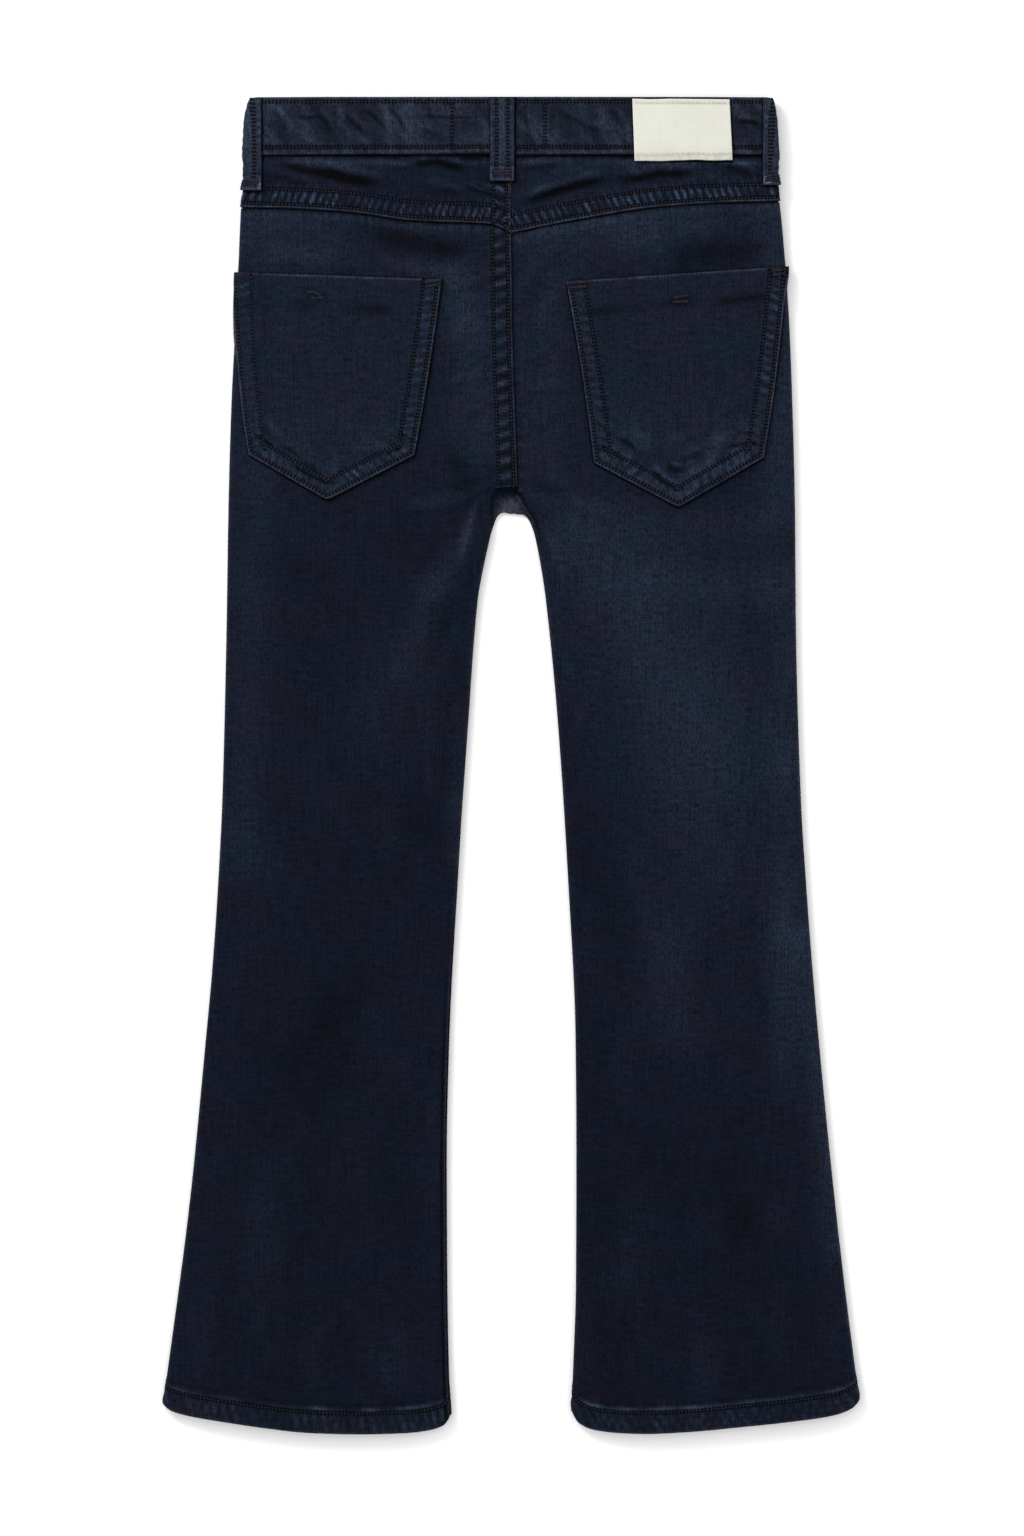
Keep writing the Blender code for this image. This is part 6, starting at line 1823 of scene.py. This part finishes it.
sewingTree = makeSewingTree()
for kind, rows in threadRows.items():
    _, length, radius, arch, turn, wander = threadKinds[kind]
    runTree(
        pathMesh(kind + "Paths", rows), sewingTree, kind + "_stitches", Length=length * 0.001, Radius=radius * 0.001,
        Arch=arch * 0.001, Turn=turn, Wander=wander, Thread=threadColours[kind],
    )


def makeZip():
    halfTape = flyZip["tapeWidth"] / 2
    ends = np.array((0, 0.1, 0.3))
    x = np.concatenate([ends - halfTape, np.linspace(1 - halfTape, halfTape - 1, 16), halfTape - ends[::-1]])
    cloth = newCloth(x, np.linspace(flyZip["top"], flyZip["low"], 50)[:, None], front)
    cloth["sink"] += behindFly()
    roundBorders(cloth, flyZip["edgeRadius"])
    finishCloth("fly_zip", cloth, flyZip["tape"], "zip_tape", ["front_left"])
    chain = np.arange(flyZip["chainTop"], flyZip["low"] - 2, flyZip["toothPitch"] / 2)
    places, _ = lie(np.zeros_like(chain), chain, front)
    places[:, 2] -= behindFly() - flyZip["tape"]
    halves = [row + (way * 0.62, 0, 0.05) for way, row in ((-1, places[::2]), (1, places[1::2]))]
    return [(row, np.tile((0.0, 0.0, 1.0), (len(row), 1))) for row in halves]


def makeTeethTree():
    tree, given, result = newGeometryTree(
        "zipTeeth", ("Width", "Float", 0.0026), ("Length", "Float", 0.00075), ("Height", "Float", 0.0006),
        ("Metal", "Material"),
    )
    size = addNode(tree, "ShaderNodeCombineXYZ", {0: given["Width"], 1: given["Length"], 2: given["Height"]})
    block = addNode(tree, "GeometryNodeMeshCube", {"Size": size})
    lift = addNode(tree, "ShaderNodeCombineXYZ", {2: mathNode(tree, "MULTIPLY", given["Height"], 0.5)})
    lifted = addNode(tree, "GeometryNodeTransform", {0: block, "Translation": lift})
    return finishTree(tree, result, given["Geometry"], lifted, given["Metal"])


teeth = runTree(
    pathMesh("toothPaths", makeZip()), makeTeethTree(), "zip_teeth", Width=flyZip["toothWidth"] * 0.001,
    Length=flyZip["toothLength"] * 0.001, Height=flyZip["toothHeight"] * 0.001, Metal=finishes["dark_metal"],
)
teeth.data.shade_flat()


def lathe(name, profile, centre, sides):
    angles = 2 * math.pi * np.arange(sides) / sides
    circle = np.stack([np.cos(angles), np.sin(angles), np.zeros(sides)], axis=1)
    rings = np.concatenate([circle * radius + (centre[0], centre[1], height) for radius, height in profile])
    index = np.arange(len(rings)).reshape(len(profile), sides)
    after = np.roll(index, -1, axis=1)
    faces = np.stack([index[:-1], index[1:], after[1:], after[:-1]], axis=-1).reshape(-1, 4).tolist()
    faces += [index[0].tolist(), index[-1, ::-1].tolist()]
    piece = newMesh(name, rings, faces, finishes["dark_metal"], sharp=40)
    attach(piece, "root")
    return piece


def makeButton():
    seat, _ = lie(np.array([button["x"]]), np.array([button["drop"]]), front)
    top = seat[0, 2] - waistband["proud"] - garment["seamGap"]
    radius, post = button["radius"], button["postRadius"]
    underCap = top - button["postHeight"]
    profile = (
        (post, top), (post, underCap + 0.1), (post + 0.4, underCap), (radius - 0.5, underCap),
        (radius - 0.1, underCap - 0.15), (radius, 0.75), (radius - 0.15, 0.4), (radius - 0.6, 0.12),
        (radius - 1.1, 0), (radius - 1.7, 0.03), (radius - 2.1, 0.3), (radius - 2.5, 0.36), (2.2, 0.30),
        (1.5, 0.1), (0.8, 0.02), (0.15, 0),
    )
    piece = lathe("button_cap", profile, seat[0], button["sides"])
    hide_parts("shank_button")


def makeSlider():
    top, shoulder, low, pull, body = (slider[name] for name in ("top", "shoulder", "low", "pullWidth", "width"))
    outline = columns(
        "drop width",
        (top, pull - 0.9), (top + 0.5, pull), (shoulder - 0.6, pull), (shoulder, pull), (shoulder + 0.8, body - 1.0),
        (shoulder + 1.8, body), (low - 1.2, body - 0.6), (low - 0.4, body - 1.2), (low, body - 2.2),
    )
    share = np.linspace(-0.5, 0.5, 9)
    cloth = newCloth(outline["width"][:, None] * share, outline["drop"][:, None], front)
    rounded = 0.35 * (1 - smooth((1 - 2 * np.abs(share)) / 0.4)) + 0 * cloth["x"]
    outer = behindFly() - flyZip["tape"] - garment["seamGap"]
    points = [cloth["place"] + cloth["out"] * lift[..., None]
              for lift in (outer - 0.1 * rounded, outer - slider["height"] + rounded)]
    faces = shellFaces(*cloth["x"].shape)[:, [0, 3, 2, 1]].tolist()  # turned downwards
    piece = newMesh("zip_slider_body", np.concatenate(points).reshape(-1, 3), faces, finishes["dark_metal"], sharp=40)
    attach(piece, "root")
    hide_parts("zip_slider")


makeButton()
makeSlider()
print("zip and button done")

# ---- the names of what each cloth piece rests on

for name, sheet in pieces.items():
    rests = sheet["rests"] or ["floor"]
    rests = [pieces[word]["piece"].name if word in pieces else word for word in rests if word != "floor"]

# ---- floor, in mm, and light and camera, in metres

studio = {
    "floorReach": 6000.0,
    "floorDrop": -0.05,
    "lightPlace": (-1.3, 1.5, 1.2),
    "lightSize": 0.9,
    "lightWatts": 34,
    "sky": 1.08,
    "cameraPlace": (-0.0003, -0.0011, 4.4735),
    "lens": 200.0,
}


def makeFloor():
    material, tree, shader = newMaterial("floor", 0.9, 0.1)
    tone = noiseNode(tree, stretched(tree, solidPlace(tree), 400, 400), 2.0)
    tree.links.new(mixColour(tree, tone, (0.90, 0.90, 0.90, 1), (0.93, 0.93, 0.93, 1)), shader.inputs["Base Color"])
    size, low = studio["floorReach"], studio["floorDrop"]
    corners = [(-size, -size, low), (size, -size, low), (size, size, low), (-size, size, low)]
    floor = newMesh("floor", corners, [(0, 1, 2, 3)], material)


def makeLight():
    light = bpy.data.lights.new("keyLight", "AREA")
    light.shape, light.size, light.energy = "SQUARE", studio["lightSize"], studio["lightWatts"]
    lamp = linked("keyLight", light)
    lamp.location = studio["lightPlace"]
    lamp.rotation_euler = (-Vector(studio["lightPlace"])).to_track_quat("-Z", "Y").to_euler()


def makeSky():
    world = bpy.data.worlds.new("studio")
    bpy.context.scene.world = world
    world.use_nodes = True
    sky = world.node_tree.nodes["Background"].inputs
    sky["Color"].default_value, sky["Strength"].default_value = (1, 1, 1, 1), studio["sky"]


def makeCamera():
    camera = bpy.data.cameras.new("camera")
    camera.lens, camera.sensor_width, camera.clip_start = studio["lens"], 36.0, 0.05
    bpy.context.scene.camera = linked("camera", camera)
    bpy.context.scene.camera.location = studio["cameraPlace"]


makeFloor()
makeLight()
makeSky()
makeCamera()
bpy.context.scene.view_settings.view_transform = "Standard"
